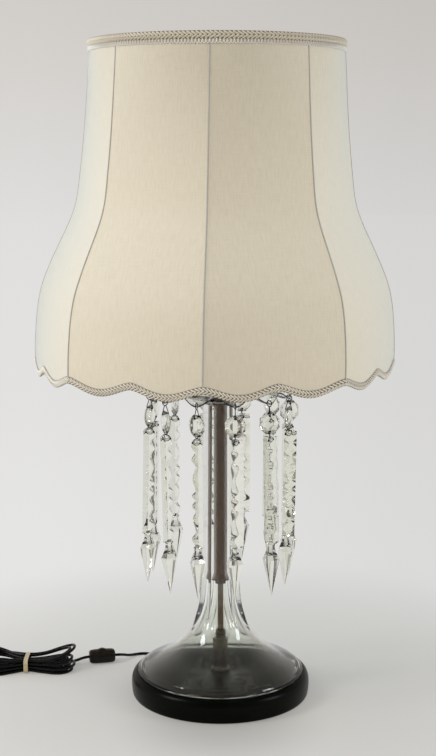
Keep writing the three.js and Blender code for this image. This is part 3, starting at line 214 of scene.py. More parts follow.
# Flex: 2.28 m of round black two-core flex, moulded in soft vinyl with a low gloss. It leaves the back
# of the base through its strain relief, lies on the table, passes the switch and is folded in a hank.
FLEX_RADIUS = 1.7 * MM
LEAD = [
    (-0.0593, 0.0847, 0.0070), (-0.0633, 0.0904, 0.0070), (-0.0673, 0.0960, 0.0068),
    (-0.0721, 0.1019, 0.0052), (-0.0784, 0.1076, 0.0030), (-0.0859, 0.1121, 0.0019),
    (-0.0940, 0.1139, 0.0018), (-0.1019, 0.1120, 0.0019), (-0.1084, 0.1072, 0.0026),
    (-0.1133, 0.1014, 0.0044), (-0.1180, 0.0963, 0.0067), (-0.1232, 0.0927, 0.0081),
    (-0.1284, 0.0910, 0.0084),
]
AFTER_SWITCH = [
    (-0.1596, 0.0844, 0.0084), (-0.1630, 0.0837, 0.0082), (-0.1685, 0.0833, 0.0068),
    (-0.1745, 0.0836, 0.0045), (-0.1810, 0.0838, 0.0026), (-0.1875, 0.0830, 0.0019),
]
TO_PLUG = [
    (-0.2745, 0.0866, 0.0132), (-0.2825, 0.0874, 0.0112), (-0.2900, 0.0885, 0.0096),
    (-0.2954, 0.0890, 0.0090), (-0.2992, 0.0890, 0.0090),
]
HANK_AT = (-0.232, 0.063)
HANK_HALF_LENGTH = 57 * MM
HANK_LAYERS, LOOPS_PER_LAYER = 4, 2
HANK_PITCH, HANK_LAYER_RISE = 4.9 * MM, 4.05 * MM
HANK_WAIST, RIGHT_LOBE, LEFT_LOBE = 12.1 * MM, 19 * MM, 23 * MM
END_STEPS, RUN_STEPS = 6, 4
STEPS_PER_LOOP = 2 * (END_STEPS + RUN_STEPS)
STEPS_PER_LAYER = STEPS_PER_LOOP * LOOPS_PER_LAYER
TIE_LIFT, TIE_REACH, LOOP_LIFT, LOOP_SWING = 1.4 * MM, 1.6 * HANK_WAIST, 12.5 * MM, 8 * MM
TABLE_GAP = 0.1 * MM


def hank_outline(step, inward):
    at = step % STEPS_PER_LOOP
    left, right = LEFT_LOBE - HANK_HALF_LENGTH, HANK_HALF_LENGTH - RIGHT_LOBE

    def run(share, side):
        x = right * (1 - 2 * share) if share < 0.5 else left * (2 * share - 1)
        lobe, reach = (LEFT_LOBE, -left) if x < 0 else (RIGHT_LOBE, right)
        widening = (1 - math.cos(math.pi * min(abs(x) / reach, 1))) / 2
        return x, side * (HANK_WAIST + (lobe - HANK_WAIST) * widening - inward)

    def end(share, centre, lobe, start):
        angle = start + math.pi * share
        return centre + (lobe - inward) * math.cos(angle), (lobe - inward) * math.sin(angle)

    if at < RUN_STEPS:
        return run(at / RUN_STEPS, 1)
    if at < RUN_STEPS + END_STEPS:
        return end((at - RUN_STEPS) / END_STEPS, left, LEFT_LOBE, math.pi / 2)
    if at < 2 * RUN_STEPS + END_STEPS:
        return run(1 - (at - RUN_STEPS - END_STEPS) / RUN_STEPS, -1)
    return end((at - 2 * RUN_STEPS - END_STEPS) / END_STEPS, right, RIGHT_LOBE, -math.pi / 2)


def hank_place(step):
    layer = min(int(step // STEPS_PER_LAYER), HANK_LAYERS - 1)
    within = step - layer * STEPS_PER_LAYER
    share = min(1, max(0, within - RUN_STEPS) / (STEPS_PER_LAYER - RUN_STEPS))
    inward = HANK_PITCH * LOOPS_PER_LAYER * (1 - share if layer % 2 else share)
    if layer == HANK_LAYERS - 1 and within >= STEPS_PER_LAYER:
        inward = 0
    x, y = hank_outline(step, inward)
    under_tie = TIE_LIFT * math.exp(-((x / TIE_REACH) ** 2))
    climb = 0 if layer == 0 else layer - 1 + min(1, within / RUN_STEPS)
    leaving = max(0, within - STEPS_PER_LAYER) / RUN_STEPS
    spring = (climb / (HANK_LAYERS - 1) * x / HANK_HALF_LENGTH) ** 2 * (1 - leaving)
    return (HANK_AT[0] + x, HANK_AT[1] + y + LOOP_SWING * spring,
            FLEX_RADIUS + TABLE_GAP + under_tie + HANK_LAYER_RISE * climb + LOOP_LIFT * spring)


def bent_line(name, lines, radius, roundness, steps, closed=False):
    curve = bpy.data.curves.new(name, "CURVE")
    curve.dimensions, curve.bevel_depth, curve.bevel_resolution = "3D", radius, roundness
    curve.resolution_u, curve.use_fill_caps = steps, not closed
    for line in lines:
        spline = curve.splines.new("BEZIER")
        spline.bezier_points.add(len(line) - 1)
        for point, spot in zip(spline.bezier_points, line):
            point.co = spot
            point.handle_left_type = point.handle_right_type = "AUTO"
        spline.use_cyclic_u = closed
    bent = bpy.data.objects.new(name, curve)
    bpy.context.collection.objects.link(bent)
    return bent


hank = [hank_place(step + 1) for step in range(STEPS_PER_LAYER * HANK_LAYERS + RUN_STEPS)]
flex = bent_line("flex", [LEAD + AFTER_SWITCH + hank + TO_PLUG], FLEX_RADIUS, roundness=3, steps=5)


def node_group(name, inputs, outputs):
    group = bpy.data.node_groups.new(name, "ShaderNodeTree")
    for direction, sockets in (("INPUT", inputs), ("OUTPUT", outputs)):
        for socket, kind in sockets.items():
            group.interface.new_socket(socket, in_out=direction, socket_type="NodeSocket" + kind)
    return group, group.nodes.new("NodeGroupInput").outputs


def give_out(group, sockets):
    outlet = group.nodes.new("NodeGroupOutput")
    for name, socket in sockets.items():
        group.links.new(socket, outlet.inputs[name])
    return group


def noise(tree, spot, scale, detail, **sockets):
    given = {"Vector": spot, "Scale": scale, "Detail": detail, **sockets}
    return place(tree, "TexNoise", given).outputs["Fac"]


def worn_finish():
    group, given = node_group("worn_finish", {
        "Scale": "Float", "Colour": "Color", "Worn Colour": "Color", "Wear": "Float", "Roughness": "Float",
        "Worn Roughness": "Float"}, {"Colour": "Color", "Roughness": "Float", "Height": "Float"})
    spot = place(group, "TexCoord").outputs["Object"]
    broad = noise(group, spot, given["Scale"], 5.0, Roughness=0.6)
    fine = noise(group, spot, maths(group, "MULTIPLY", given["Scale"], 11.0), 3.0)
    worn = level(group, broad, maths(group, "SUBTRACT", 1.0, given["Wear"]), 1.0)
    spread = maths(group, "MULTIPLY", maths(group, "MULTIPLY", worn, fine), 3.0, use_clamp=True)
    return give_out(group, {
        "Colour": mix(group, spread, given["Colour"], given["Worn Colour"]),
        "Roughness": level(group, spread, 0.0, 1.0, given["Roughness"], given["Worn Roughness"]),
        "Height": fine})


def surfaced(name, group, values, bump, strength=1.0, **plain):
    made = bpy.data.materials.new(name)
    made.use_nodes = True
    tree = made.node_tree
    shader = tree.nodes["Principled BSDF"]
    look = place(tree, "Group", values, node_tree=group)
    relief = place(tree, "Bump", {"Height": look.outputs["Height"], "Distance": bump, "Strength": strength})
    tree.links.new(look.outputs["Colour"], shader.inputs["Base Color"])
    tree.links.new(look.outputs["Roughness"], shader.inputs["Roughness"])
    tree.links.new(relief.outputs[0], shader.inputs["Normal"])
    for key, value in plain.items():
        shader.inputs[key.replace("_", " ")].default_value = value
    return made


WORN = worn_finish()


def worn_material(name, colour, worn_colour, wear, scale, roughness, worn_roughness, bump, **plain):
    return surfaced(name, WORN, {"Scale": scale, "Colour": (*colour, 1), "Worn Colour": (*worn_colour, 1),
                                 "Wear": wear, "Roughness": roughness, "Worn Roughness": worn_roughness},
                    bump, **plain)


vinyl = worn_material("black_vinyl", (0.0018, 0.0018, 0.0018), (0.007, 0.007, 0.006), 0.45, 160, 0.26, 0.4,
                      0.02 * MM, Specular_IOR_Level=0.22)
flex.data.materials.append(vinyl)
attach(flex, "lamp")
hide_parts("cord_lead", "cord_hank")


# Strain relief: a black rubber bush pressed in the wall of the base, with a collar outside and a tail
# that tapers down on the flex.
def softened(profile, ease):
    points = []
    for index, corner in enumerate(profile):
        if profile[0][0] == 0 and index in (0, len(profile) - 1):
            points.append(corner)
            continue
        corner = Vector(corner)
        before = Vector(profile[index - 1]) - corner
        after = Vector(profile[(index + 1) % len(profile)]) - corner
        reach = min(ease, before.length * 0.4, after.length * 0.4)
        start, end = corner + before.normalized() * reach, corner + after.normalized() * reach
        points += [start, (start + end + 2 * corner) / 4, end]
    return points


MERGE_DISTANCE = 0.001 * MM
SMALL_ROUND, ROUND, LARGE_ROUND = 32, 64, 96


def turned(profile, steps=ROUND):
    bm = bmesh.new()
    corners = [bm.verts.new((radius, 0, height)) for radius, height in profile]
    ends = corners[1:] + corners[:1] if profile[0][0] > 0 else corners[1:]
    edges = [bm.edges.new(pair) for pair in zip(corners, ends)]
    bmesh.ops.spin(bm, geom=corners + edges, axis=(0, 0, 1), angle=2 * math.pi, steps=steps, use_merge=True)
    bmesh.ops.remove_doubles(bm, verts=bm.verts, dist=MERGE_DISTANCE)
    bmesh.ops.recalc_face_normals(bm, faces=bm.faces)
    return bm


def finished(name, bm, body, slot, material, *replaced, crisp=35):
    for face in bm.faces:
        face.smooth = True
    for edge in bm.edges:
        edge.smooth = edge.is_boundary or edge.calc_face_angle(0) < math.radians(crisp)
    piece = bpy.data.objects.new(name, bpy.data.meshes.new(name))
    bm.to_mesh(piece.data)
    bm.free()
    bpy.context.collection.objects.link(piece)
    piece.data.materials.append(material)
    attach(piece, body)
    if replaced:
        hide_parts(*replaced)
    return piece


EXIT_TURN, EXIT_HEIGHT = math.radians(-145), 7 * MM
BUSH_START, WALL, BUSH_LENGTH, TAIL = 88.1 * MM, 101.6 * MM, 15 * MM, 12 * MM
outside = BUSH_START + BUSH_LENGTH
bush = turned(softened([
    (2.2 * MM, BUSH_START), (4.1 * MM, BUSH_START), (4.1 * MM, WALL), (6.0 * MM, WALL), (6.0 * MM, outside),
    (3.8 * MM, outside), (2.8 * MM, outside + TAIL), (2.2 * MM, outside + TAIL)], 0.5 * MM), SMALL_ROUND)
TOWARDS_EXIT = (Matrix.Translation((0, 0, EXIT_HEIGHT)) @ Matrix.Rotation(EXIT_TURN, 4, "Z")
                @ Matrix.Rotation(math.pi / 2, 4, "X"))
bmesh.ops.transform(bush, verts=bush.verts, matrix=TOWARDS_EXIT)
rubber = worn_material("black_rubber", (0.012, 0.012, 0.012), (0.04, 0.04, 0.038), 0.5, 240, 0.6, 0.8,
                       0.03 * MM)
finished("strain_relief", bush, "lamp", "black_rubber", rubber, "cord_bushing")


# Switch: a small two-part rotary line switch in dark brown moulded resin. The halves are pressed
# together along their middle, and the ribbed dial stands out of a slot in the upper one.
def lofted(rings):
    bm = bmesh.new()
    ring = bmesh.ops.create_circle(bm, segments=len(rings[0]), radius=1)["verts"]
    edges = list(bm.edges)
    for vert, spot in zip(ring, rings[0]):
        vert.co = spot
    for spots in rings[1:]:
        order = {tuple(vert.co): index for index, vert in enumerate(ring)}
        grown = bmesh.ops.extrude_edge_only(bm, edges=edges)["geom"]
        ring = sorted((item for item in grown if isinstance(item, bmesh.types.BMVert)),
                      key=lambda vert: order[tuple(vert.co)])
        edges = [item for item in grown if isinstance(item, bmesh.types.BMEdge)
                 and item.verts[0] in ring and item.verts[1] in ring]
        for vert, spot in zip(ring, spots):
            vert.co = spot
    bmesh.ops.holes_fill(bm, edges=[edge for edge in bm.edges if edge.is_boundary])
    bmesh.ops.recalc_face_normals(bm, faces=bm.faces)
    return bm


def squared_ring(x, half_width, half_height, power, count=32):
    spots = []
    for index in range(count):
        angle = 2 * math.pi * (index + 0.5) / count
        across, up = math.cos(angle), math.sin(angle)
        spots.append(Vector((x, half_width * math.copysign(abs(across) ** power, across),
                             half_height * math.copysign(abs(up) ** power, up))))
    return spots


def tube(bore, radius, low, high):
    return [(bore, low), (radius, low), (radius, high), (bore, high)]


SWITCH_AT = Matrix.Translation((-0.1441, 0.0877, 0.0084)) @ Matrix.Rotation(math.radians(12), 4, "Z")
SWITCH_LENGTH, SWITCH_WIDTH, SWITCH_HEIGHT = 31 * MM, 16.5 * MM, 16.4 * MM
SPLIT, SPLIT_GAP = 1.9 * MM, 0.15 * MM
BARREL_END = [(0.28, 0.985), (0.41, 0.94), (0.46, 0.87), (0.49, 0.78), (0.5, 0.70)]
BARREL = [(-along, size) for along, size in reversed(BARREL_END)] + [(0, 1)] + BARREL_END
DIAL_RADIUS, DIAL_THICKNESS, DIAL_GAP = 7.6 * MM, 5.4 * MM, 0.6 * MM
RIB_RELIEF, SMALLEST_RIB = 0.25 * MM, 3 * MM * MM
bakelite = worn_material("brown_resin", (0.006, 0.004, 0.0025), (0.022, 0.014, 0.008), 0.55, 90, 0.3, 0.45,
                         0.02 * MM, Specular_IOR_Level=0.2)


def carved(piece, *cutters):
    for cutter in cutters:
        tool = bpy.data.objects.new("cutter", bpy.data.meshes.new("cutter"))
        cutter.to_mesh(tool.data)
        cutter.free()
        bpy.context.collection.objects.link(tool)
        cut = piece.modifiers.new("cut", "BOOLEAN")
        cut.operation, cut.object, cut.solver = "DIFFERENCE", tool, "EXACT"
        bpy.context.view_layer.update()
        shape = bpy.data.meshes.new_from_object(piece.evaluated_get(bpy.context.evaluated_depsgraph_get()))
        piece.modifiers.clear()
        piece.data = shape
        bpy.data.objects.remove(tool)
    return piece


def dial_shape(radius, thickness, steps):
    bm = turned(softened(tube(0, radius, -thickness / 2, thickness / 2), 0.4 * MM), steps)
    bmesh.ops.transform(bm, verts=bm.verts, matrix=SWITCH_AT @ Matrix.Translation((0, 0, SPLIT))
                        @ Matrix.Rotation(math.pi / 2, 4, "X"))
    return bm


def switch_half(name, upper, node):
    bm = lofted([squared_ring(along * SWITCH_LENGTH, SWITCH_WIDTH / 2 * size, SWITCH_HEIGHT / 2 * size, 0.72)
                 for along, size in BARREL])
    cut_height = SPLIT + (SPLIT_GAP if upper else -SPLIT_GAP)
    sliced = bmesh.ops.bisect_plane(
        bm, geom=bm.verts[:] + bm.edges[:] + bm.faces[:], plane_co=(0, 0, cut_height),
        plane_no=(0, 0, -1 if upper else 1), clear_outer=True)["geom_cut"]
    bmesh.ops.holes_fill(bm, edges=[edge for edge in sliced if isinstance(edge, bmesh.types.BMEdge)])
    bmesh.ops.recalc_face_normals(bm, faces=bm.faces)
    bmesh.ops.transform(bm, verts=bm.verts, matrix=SWITCH_AT)
    half = finished(name, bm, "lamp", "bakelite", bakelite, node)
    return carved(half, dial_shape(DIAL_RADIUS + DIAL_GAP, DIAL_THICKNESS + DIAL_GAP, SMALL_ROUND))


switch_base = switch_half("switch_lower_half", False, "switch_base")
switch_cover = switch_half("switch_upper_half", True, "switch_cover")
dial = dial_shape(DIAL_RADIUS, DIAL_THICKNESS, 40)
rib_faces = [face for face in dial.faces
             if face.calc_area() > SMALLEST_RIB and abs(face.normal.z) + abs(face.normal.x) > 0.7]
bmesh.ops.inset_individual(dial, faces=rib_faces, thickness=RIB_RELIEF, depth=RIB_RELIEF)
finished("switch_ribbed_dial", dial, "switch_dial", "bakelite", bakelite, "switch_dial")


# Tie: a strip of beige plastic, 5 mm wide and 0.8 mm thick. It is pulled tight round the waist of the
# hank and holds its loops together.
TIE_WIDTH, TIE_THICKNESS = 5 * MM, 0.8 * MM
tie_low, tie_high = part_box("cord_tie")
tie_middle, tie_half = (tie_low + tie_high) / 2, (tie_high - tie_low) / 2


def tie_ring(along):
    return [tie_middle + Vector((along, spot.y, spot.z))
            for spot in squared_ring(0, tie_half.y, tie_half.z, 0.42, 48)]


tie = lofted([tie_ring(TIE_WIDTH * share) for share in (-1 / 2, -1 / 6, 1 / 6, 1 / 2)])
bmesh.ops.delete(tie, geom=[face for face in tie.faces if len(face.verts) > 4], context="FACES_ONLY")
bmesh.ops.solidify(tie, geom=tie.faces[:], thickness=TIE_THICKNESS)
band = worn_material("beige_strip", (0.55, 0.43, 0.26), (0.4, 0.3, 0.18), 0.5, 300, 0.45, 0.6, 0.03 * MM)
hank_tie = finished("hank_tie", tie, "lamp", "band", band, "cord_tie")


# Plug: a moulded two-blade plug in the same dark resin, with a ribbed neck round the flex. The blades
# are nickel-plated and stand 12.7 mm apart.
PLUG_AT = Vector((-0.2996, 0.089, 0.009))
PLUG_LENGTH, PLUG_WIDTH, PLUG_HEIGHT = 24 * MM, 22 * MM, 15 * MM
PLUG_NECK = [(0, 0.36), (-0.03, 0.42), (-0.05, 0.40), (-0.09, 0.52), (-0.11, 0.50), (-0.16, 0.64)]
PLUG_BODY = [(-0.3, 0.80), (-0.5, 0.92), (-0.7, 1), (-0.96, 1), (-1, 0.95)]
plug = lofted([[spot + PLUG_AT for spot in squared_ring(along * PLUG_LENGTH, PLUG_WIDTH / 2 * size,
                                                        PLUG_HEIGHT / 2 * size, 0.65)]
               for along, size in PLUG_NECK + PLUG_BODY])
plug_body = finished("plug_body", plug, "lamp", "bakelite", bakelite, "plug")
BLADE_LENGTH, BLADE_WIDTH, BLADE_THICKNESS, BLADE_SPACING = 16 * MM, 6.3 * MM, 1.5 * MM, 12.7 * MM
BLADE_ROOT, BLADE_EASE = 1 * MM, 0.4 * MM
blade_size = (BLADE_LENGTH + BLADE_ROOT, BLADE_THICKNESS, BLADE_WIDTH)
blades = bmesh.new()
for side in (-1, 1):
    middle = PLUG_AT + Vector((BLADE_ROOT / 2 - BLADE_LENGTH / 2 - PLUG_LENGTH, side * BLADE_SPACING / 2, 0))
    bmesh.ops.create_cube(blades, size=1,
                          matrix=Matrix.Translation(middle) @ Matrix.Diagonal((*blade_size, 1)))
bmesh.ops.bevel(blades, geom=blades.edges[:], offset=BLADE_EASE, affect="EDGES", segments=2, profile=0.5,
                material=-1)
nickel_bright = worn_material("bright_nickel", (0.62, 0.60, 0.56), (0.36, 0.33, 0.28), 0.55, 120, 0.22, 0.4,
                              0.01 * MM, Metallic=1.0)
plug_blades = finished("plug_blades", blades, "lamp", "nickel", nickel_bright)


# Felt: a disc of dark green pressed felt, glued under the base so that it doesn't mark the table. It
# sits inside a low skirt of the base.
def lathed(name, profile, ease, body, slot, material, *replaced, steps=ROUND, crisp=35):
    bm = turned(softened(profile, ease), steps)
    return finished(name, bm, body, slot, material, *replaced, crisp=crisp)


felt_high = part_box("felt_pad")[1]
felt_cloth = worn_material("green_felt", (0.012, 0.033, 0.02), (0.03, 0.06, 0.04), 0.6, 500, 0.95, 1.0,
                           0.15 * MM, Sheen_Weight=0.4)
lathed("felt_disc", tube(0, felt_high.x, 0, felt_high.z), 0.4 * MM, "lamp", "felt", felt_cloth, "felt_pad",
       steps=LARGE_ROUND)


# Base: one turned wooden disc under black satin lacquer, with a rounded shoulder. It is bored for the
# pipe, and recesses underneath take the felt, the washer and the nut.
base_low, base_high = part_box("wood_base")
BASE_RADIUS, BASE_BOTTOM, BASE_TOP = base_high.x, base_low.z, base_high.z
PIPE_HOLE, RECESS_RADIUS, RECESS_TOP = 5.4 * MM, 32 * MM, 16 * MM
SKIRT_GAP, SKIRT_FOOT, SWELL = 0.4 * MM, 0.4 * MM, 0.9 * MM
LEAD_HOLE, LEAD_HOLE_START, LEAD_HOLE_END = 4.3 * MM, 20 * MM, 110 * MM
lacquer = worn_material("black_lacquer", (0.0008, 0.0014, 0.0005), (0.0030, 0.0036, 0.0022), 0.42, 28, 0.28,
                        0.40, 0.004 * MM, Specular_IOR_Level=0.08)
skirt_inside = felt_high.x + SKIRT_GAP
base = lathed("turned_base", [
    (PIPE_HOLE, RECESS_TOP), (RECESS_RADIUS, RECESS_TOP), (RECESS_RADIUS, BASE_BOTTOM),
    (skirt_inside, BASE_BOTTOM), (skirt_inside, SKIRT_FOOT), (BASE_RADIUS - 0.6 * MM, SKIRT_FOOT),
    (BASE_RADIUS + 0.3 * MM, BASE_BOTTOM + 2.5 * MM), (BASE_RADIUS + SWELL, BASE_BOTTOM + 10 * MM),
    (BASE_RADIUS + 0.6 * MM, BASE_BOTTOM + 16.5 * MM), (BASE_RADIUS - 0.9 * MM, BASE_BOTTOM + 20.8 * MM),
    (BASE_RADIUS - 3.2 * MM, BASE_TOP - 1.0 * MM), (BASE_RADIUS - 5.6 * MM, BASE_TOP), (PIPE_HOLE, BASE_TOP)],
    1.2 * MM, "lamp", "black_wood", lacquer, "wood_base", steps=144)
lead_hole = turned(tube(0, LEAD_HOLE, LEAD_HOLE_START, LEAD_HOLE_END), SMALL_ROUND)
bmesh.ops.transform(lead_hole, verts=lead_hole.verts, matrix=TOWARDS_EXIT)
carved(base, lead_hole)


# Pipe: the threaded brass tube that holds the lamp together, with a zinc-plated nut and washer under the
# base. Age has turned it coppery, and the clear foot shows it from all sides.
def repaint(node, material):
    piece = frame["nodes"][node]
    for slot in piece.material_slots:
        slot.material = material


zinc = worn_material("zinc_steel", (0.42, 0.43, 0.44), (0.2, 0.18, 0.15), 0.55, 150, 0.35, 0.6, 0.02 * MM,
                     Metallic=1.0)
repaint("base_washer", zinc)
repaint("base_lock_nut", zinc)
repaint("supply_lead", vinyl)
pipe_low, pipe_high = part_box("lamp_pipe")
PIPE_RADIUS, PIPE_BORE, THREAD_PITCH, THREAD_DEPTH = 5.1 * MM, 3.6 * MM, 1.25 * MM, 0.35 * MM
PLAIN_END, THREAD_ROOT = 1 * MM, PIPE_RADIUS - THREAD_DEPTH
threads = int((pipe_high.z - pipe_low.z - 2 * PLAIN_END) / THREAD_PITCH)
thread_foot = pipe_low.z + PLAIN_END
pipe_profile = [(PIPE_BORE, pipe_low.z), (THREAD_ROOT, pipe_low.z)]
for turn in range(threads):
    pipe_profile += [(THREAD_ROOT, thread_foot + turn * THREAD_PITCH),
                     (PIPE_RADIUS, thread_foot + (turn + 0.5) * THREAD_PITCH)]
pipe_profile += [(THREAD_ROOT, pipe_high.z), (PIPE_BORE, pipe_high.z)]
coppery = worn_material("aged_brass", (0.13, 0.085, 0.058), (0.40, 0.29, 0.21), 0.46, 45, 0.28, 0.4,
                        0.01 * MM, Metallic=1.0)
finished("threaded_pipe", turned(pipe_profile, SMALL_ROUND), "lamp", "nickel", coppery, "lamp_pipe", crisp=80)


# Collar: the turned tube that stands in the hollow of the glass and centres it, dull nickel with a
# beaded lip and a small flange. A rubber washer centres the pipe where the hollow ends, and a nickel
# ring caps the column.
COLLAR_RADIUS, COLLAR_FLANGE = 8.35 * MM, 10.65 * MM
collar_low, collar_high = (corner.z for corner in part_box("base_collar"))
dull_nickel = worn_material("tarnished_nickel", (0.20, 0.178, 0.135), (0.10, 0.085, 0.06), 0.58, 70, 0.34,
                            0.55, 0.02 * MM, Metallic=1.0)
lathed("collar", [
    (PIPE_HOLE, collar_low), (COLLAR_FLANGE, collar_low), (COLLAR_FLANGE, collar_low + 2.1 * MM),
    (COLLAR_RADIUS, collar_low + 3 * MM), (COLLAR_RADIUS - 0.3 * MM, collar_low + 6 * MM),
    (COLLAR_RADIUS, collar_low + 9 * MM), (COLLAR_RADIUS, collar_high - 7 * MM),
    (COLLAR_RADIUS - 0.5 * MM, collar_high - 6.2 * MM), (COLLAR_RADIUS - 0.5 * MM, collar_high - 5.4 * MM),
    (COLLAR_RADIUS + 0.5 * MM, collar_high - 4.4 * MM), (COLLAR_RADIUS + 0.5 * MM, collar_high - 3.0 * MM),
    (COLLAR_RADIUS - 0.6 * MM, collar_high - 2.2 * MM), (COLLAR_RADIUS - 0.2 * MM, collar_high - 1.2 * MM),
    (COLLAR_RADIUS - 1.3 * MM, collar_high), (PIPE_HOLE, collar_high)], 0.35 * MM,
    "lamp", "nickel", dull_nickel, "base_collar")


def bushed(name, node, material, slot, ease):
    low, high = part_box(node)
    return lathed(name, tube(PIPE_HOLE, high.x, low.z, high.z), ease, "lamp", slot, material, node)


bushed("centring_washer_rubber", "centring_washer", rubber, "black_rubber", 0.5 * MM)
bushed("column_cap_ring", "column_cap", nickel_bright, "nickel", 0.8 * MM)


# Glass: foot and column are one piece of clear glass, pressed and then cut. Six flat panels run up the
# column and end in petal-shaped arcs on the flare. The hollow of the foot keeps its dull moulded skin,
# and the drilled bore above it is darkened and flares at its mouth.
def eased(stops, at):
    last = len(stops) - 1
    if at <= stops[0][0]:
        return stops[0][1]
    if at >= stops[last][0]:
        return stops[last][1]
    index = next(number for number in range(last) if at <= stops[number + 1][0])

    def slope(number):
        (start, low), (end, high) = stops[max(number - 1, 0)], stops[min(number + 1, last)]
        return (high - low) / (end - start)

    (start, low), (end, high) = stops[index], stops[index + 1]
    width = end - start
    share = (at - start) / width
    rest = 1 - share
    return (low * (1 + 2 * share) * rest ** 2 + slope(index) * width * share * rest ** 2
            + high * share * share * (3 - 2 * share) + slope(index + 1) * width * share * share * (share - 1))


def mixed(low, high, share):
    return low + (high - low) * share


def smoothed(low, high, at):
    share = min(1, max(0, (at - low) / (high - low)))
    return share * share * (3 - 2 * share)


def around(degrees, radius, height):
    turn = math.radians(degrees)
    return Vector((radius * math.sin(turn), -radius * math.cos(turn), height))


def spun(rows, columns, spot):
    bm = bmesh.new()
    line = [bm.verts.new((1, 0, row)) for row in range(rows)]
    edges = [bm.edges.new(pair) for pair in zip(line, line[1:] + line[:1])]
    bmesh.ops.spin(bm, geom=line + edges, axis=(0, 0, 1), angle=2 * math.pi, steps=columns, use_merge=True)
    for vert in bm.verts:
        column = round(math.atan2(vert.co.y, vert.co.x) / (2 * math.pi) * columns) % columns
        vert.co = spot(column, round(vert.co.z))
    bmesh.ops.recalc_face_normals(bm, faces=bm.faces)
    return bm


PANELS, PANEL_TURN = 6, 2
FOOT_RADIUS, FOOT_WALL, GLASS_BORE, CAVITY_TOP_RADIUS = 95 * MM, 5.5 * MM, 7.6 * MM, 10 * MM
FLARE_HEIGHT, CAVITY_HEIGHT, COLUMN_FOOT, COLUMN_TOP = 85.6 * MM, 107.6 * MM, 23.3 * MM, 19.9 * MM
glass_low, glass_high = (corner.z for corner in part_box("glass_body"))
GLASS_HEIGHT = glass_high - glass_low
COLUMN = [(FLARE_HEIGHT, COLUMN_FOOT), (GLASS_HEIGHT * 0.4, COLUMN_FOOT - 1.1 * MM),
          (GLASS_HEIGHT * 0.65, COLUMN_FOOT - 2.2 * MM), (GLASS_HEIGHT, COLUMN_TOP)]
FLARE = [(up * FLARE_HEIGHT, mixed(COLUMN_FOOT, FOOT_RADIUS, out)) for up, out in (
    (0, 1), (0.02, 1), (0.027, 0.992), (0.0864, 0.894), (0.1402, 0.749), (0.2103, 0.5955), (0.2991, 0.4519),
    (0.3925, 0.3194), (0.4977, 0.205), (0.6145, 0.1213), (0.7371, 0.0656), (0.8879, 0.0237))] + COLUMN
PANEL_SHARE, PANEL_START = math.cos(math.pi / PANELS), 0.4673
PANEL_CUT = [(up * FLARE_HEIGHT, COLUMN_FOOT * PANEL_SHARE + out * (FOOT_RADIUS - COLUMN_FOOT))
             for up, out in ((PANEL_START, 0.3601), (0.5374, 0.2151), (0.6145, 0.1398), (0.7009, 0.0868),
                             (0.7827, 0.0477), (0.8879, 0.0198))]
PANEL_CUT += [(height, radius * PANEL_SHARE) for height, radius in COLUMN]
HOLLOW = [(up * CAVITY_HEIGHT, mixed(CAVITY_TOP_RADIUS, FOOT_RADIUS - FOOT_WALL, out)) for up, out in (
    (0, 1), (0.0335, 0.9571), (0.0892, 0.8223), (0.1543, 0.6691), (0.2286, 0.5221), (0.3123, 0.3873),
    (0.4052, 0.2586), (0.4981, 0.1605), (0.6097, 0.0895), (0.7249, 0.0453), (0.855, 0.0159), (1, 0))]
HALF_PANEL, CREASE_TRIES = 30, 40
PANEL_COLUMNS = [-29.2, *range(-28, 29, 2), 29.2, HALF_PANEL]
FLARE_ROWS, PANEL_ROWS, COLUMN_ROWS, BORE_ROWS, HOLLOW_ROWS = 16, 14, 12, 5, 26
BORE = [(CAVITY_HEIGHT, 9.3 * MM), (CAVITY_HEIGHT + 1.2 * MM, 9.9 * MM), (CAVITY_HEIGHT + 5.5 * MM, 8.4 * MM),
        (CAVITY_HEIGHT + 8.5 * MM, GLASS_BORE), (GLASS_HEIGHT, GLASS_BORE)]
RIM_EASE, RIDGE_EASE = 0.7 * MM, 0.12 * MM


def panel_radius(away, height):
    ridge = RIDGE_EASE if away == HALF_PANEL else 0
    return eased(PANEL_CUT, height) / math.cos(math.radians(away)) - ridge


def flare_radius(height):
    return eased(FLARE, height) * (1 + 0.004 * smoothed(30 * MM, 50 * MM, height))


def crease_height(away):
    low, high = PANEL_START * FLARE_HEIGHT, FLARE_HEIGHT
    for _ in range(CREASE_TRIES):
        middle = (low + high) / 2
        if panel_radius(away, middle) > flare_radius(middle):
            low = middle
        else:
            high = middle
    return low


creases = {away: crease_height(away) for away in sorted({abs(turn) for turn in PANEL_COLUMNS})}


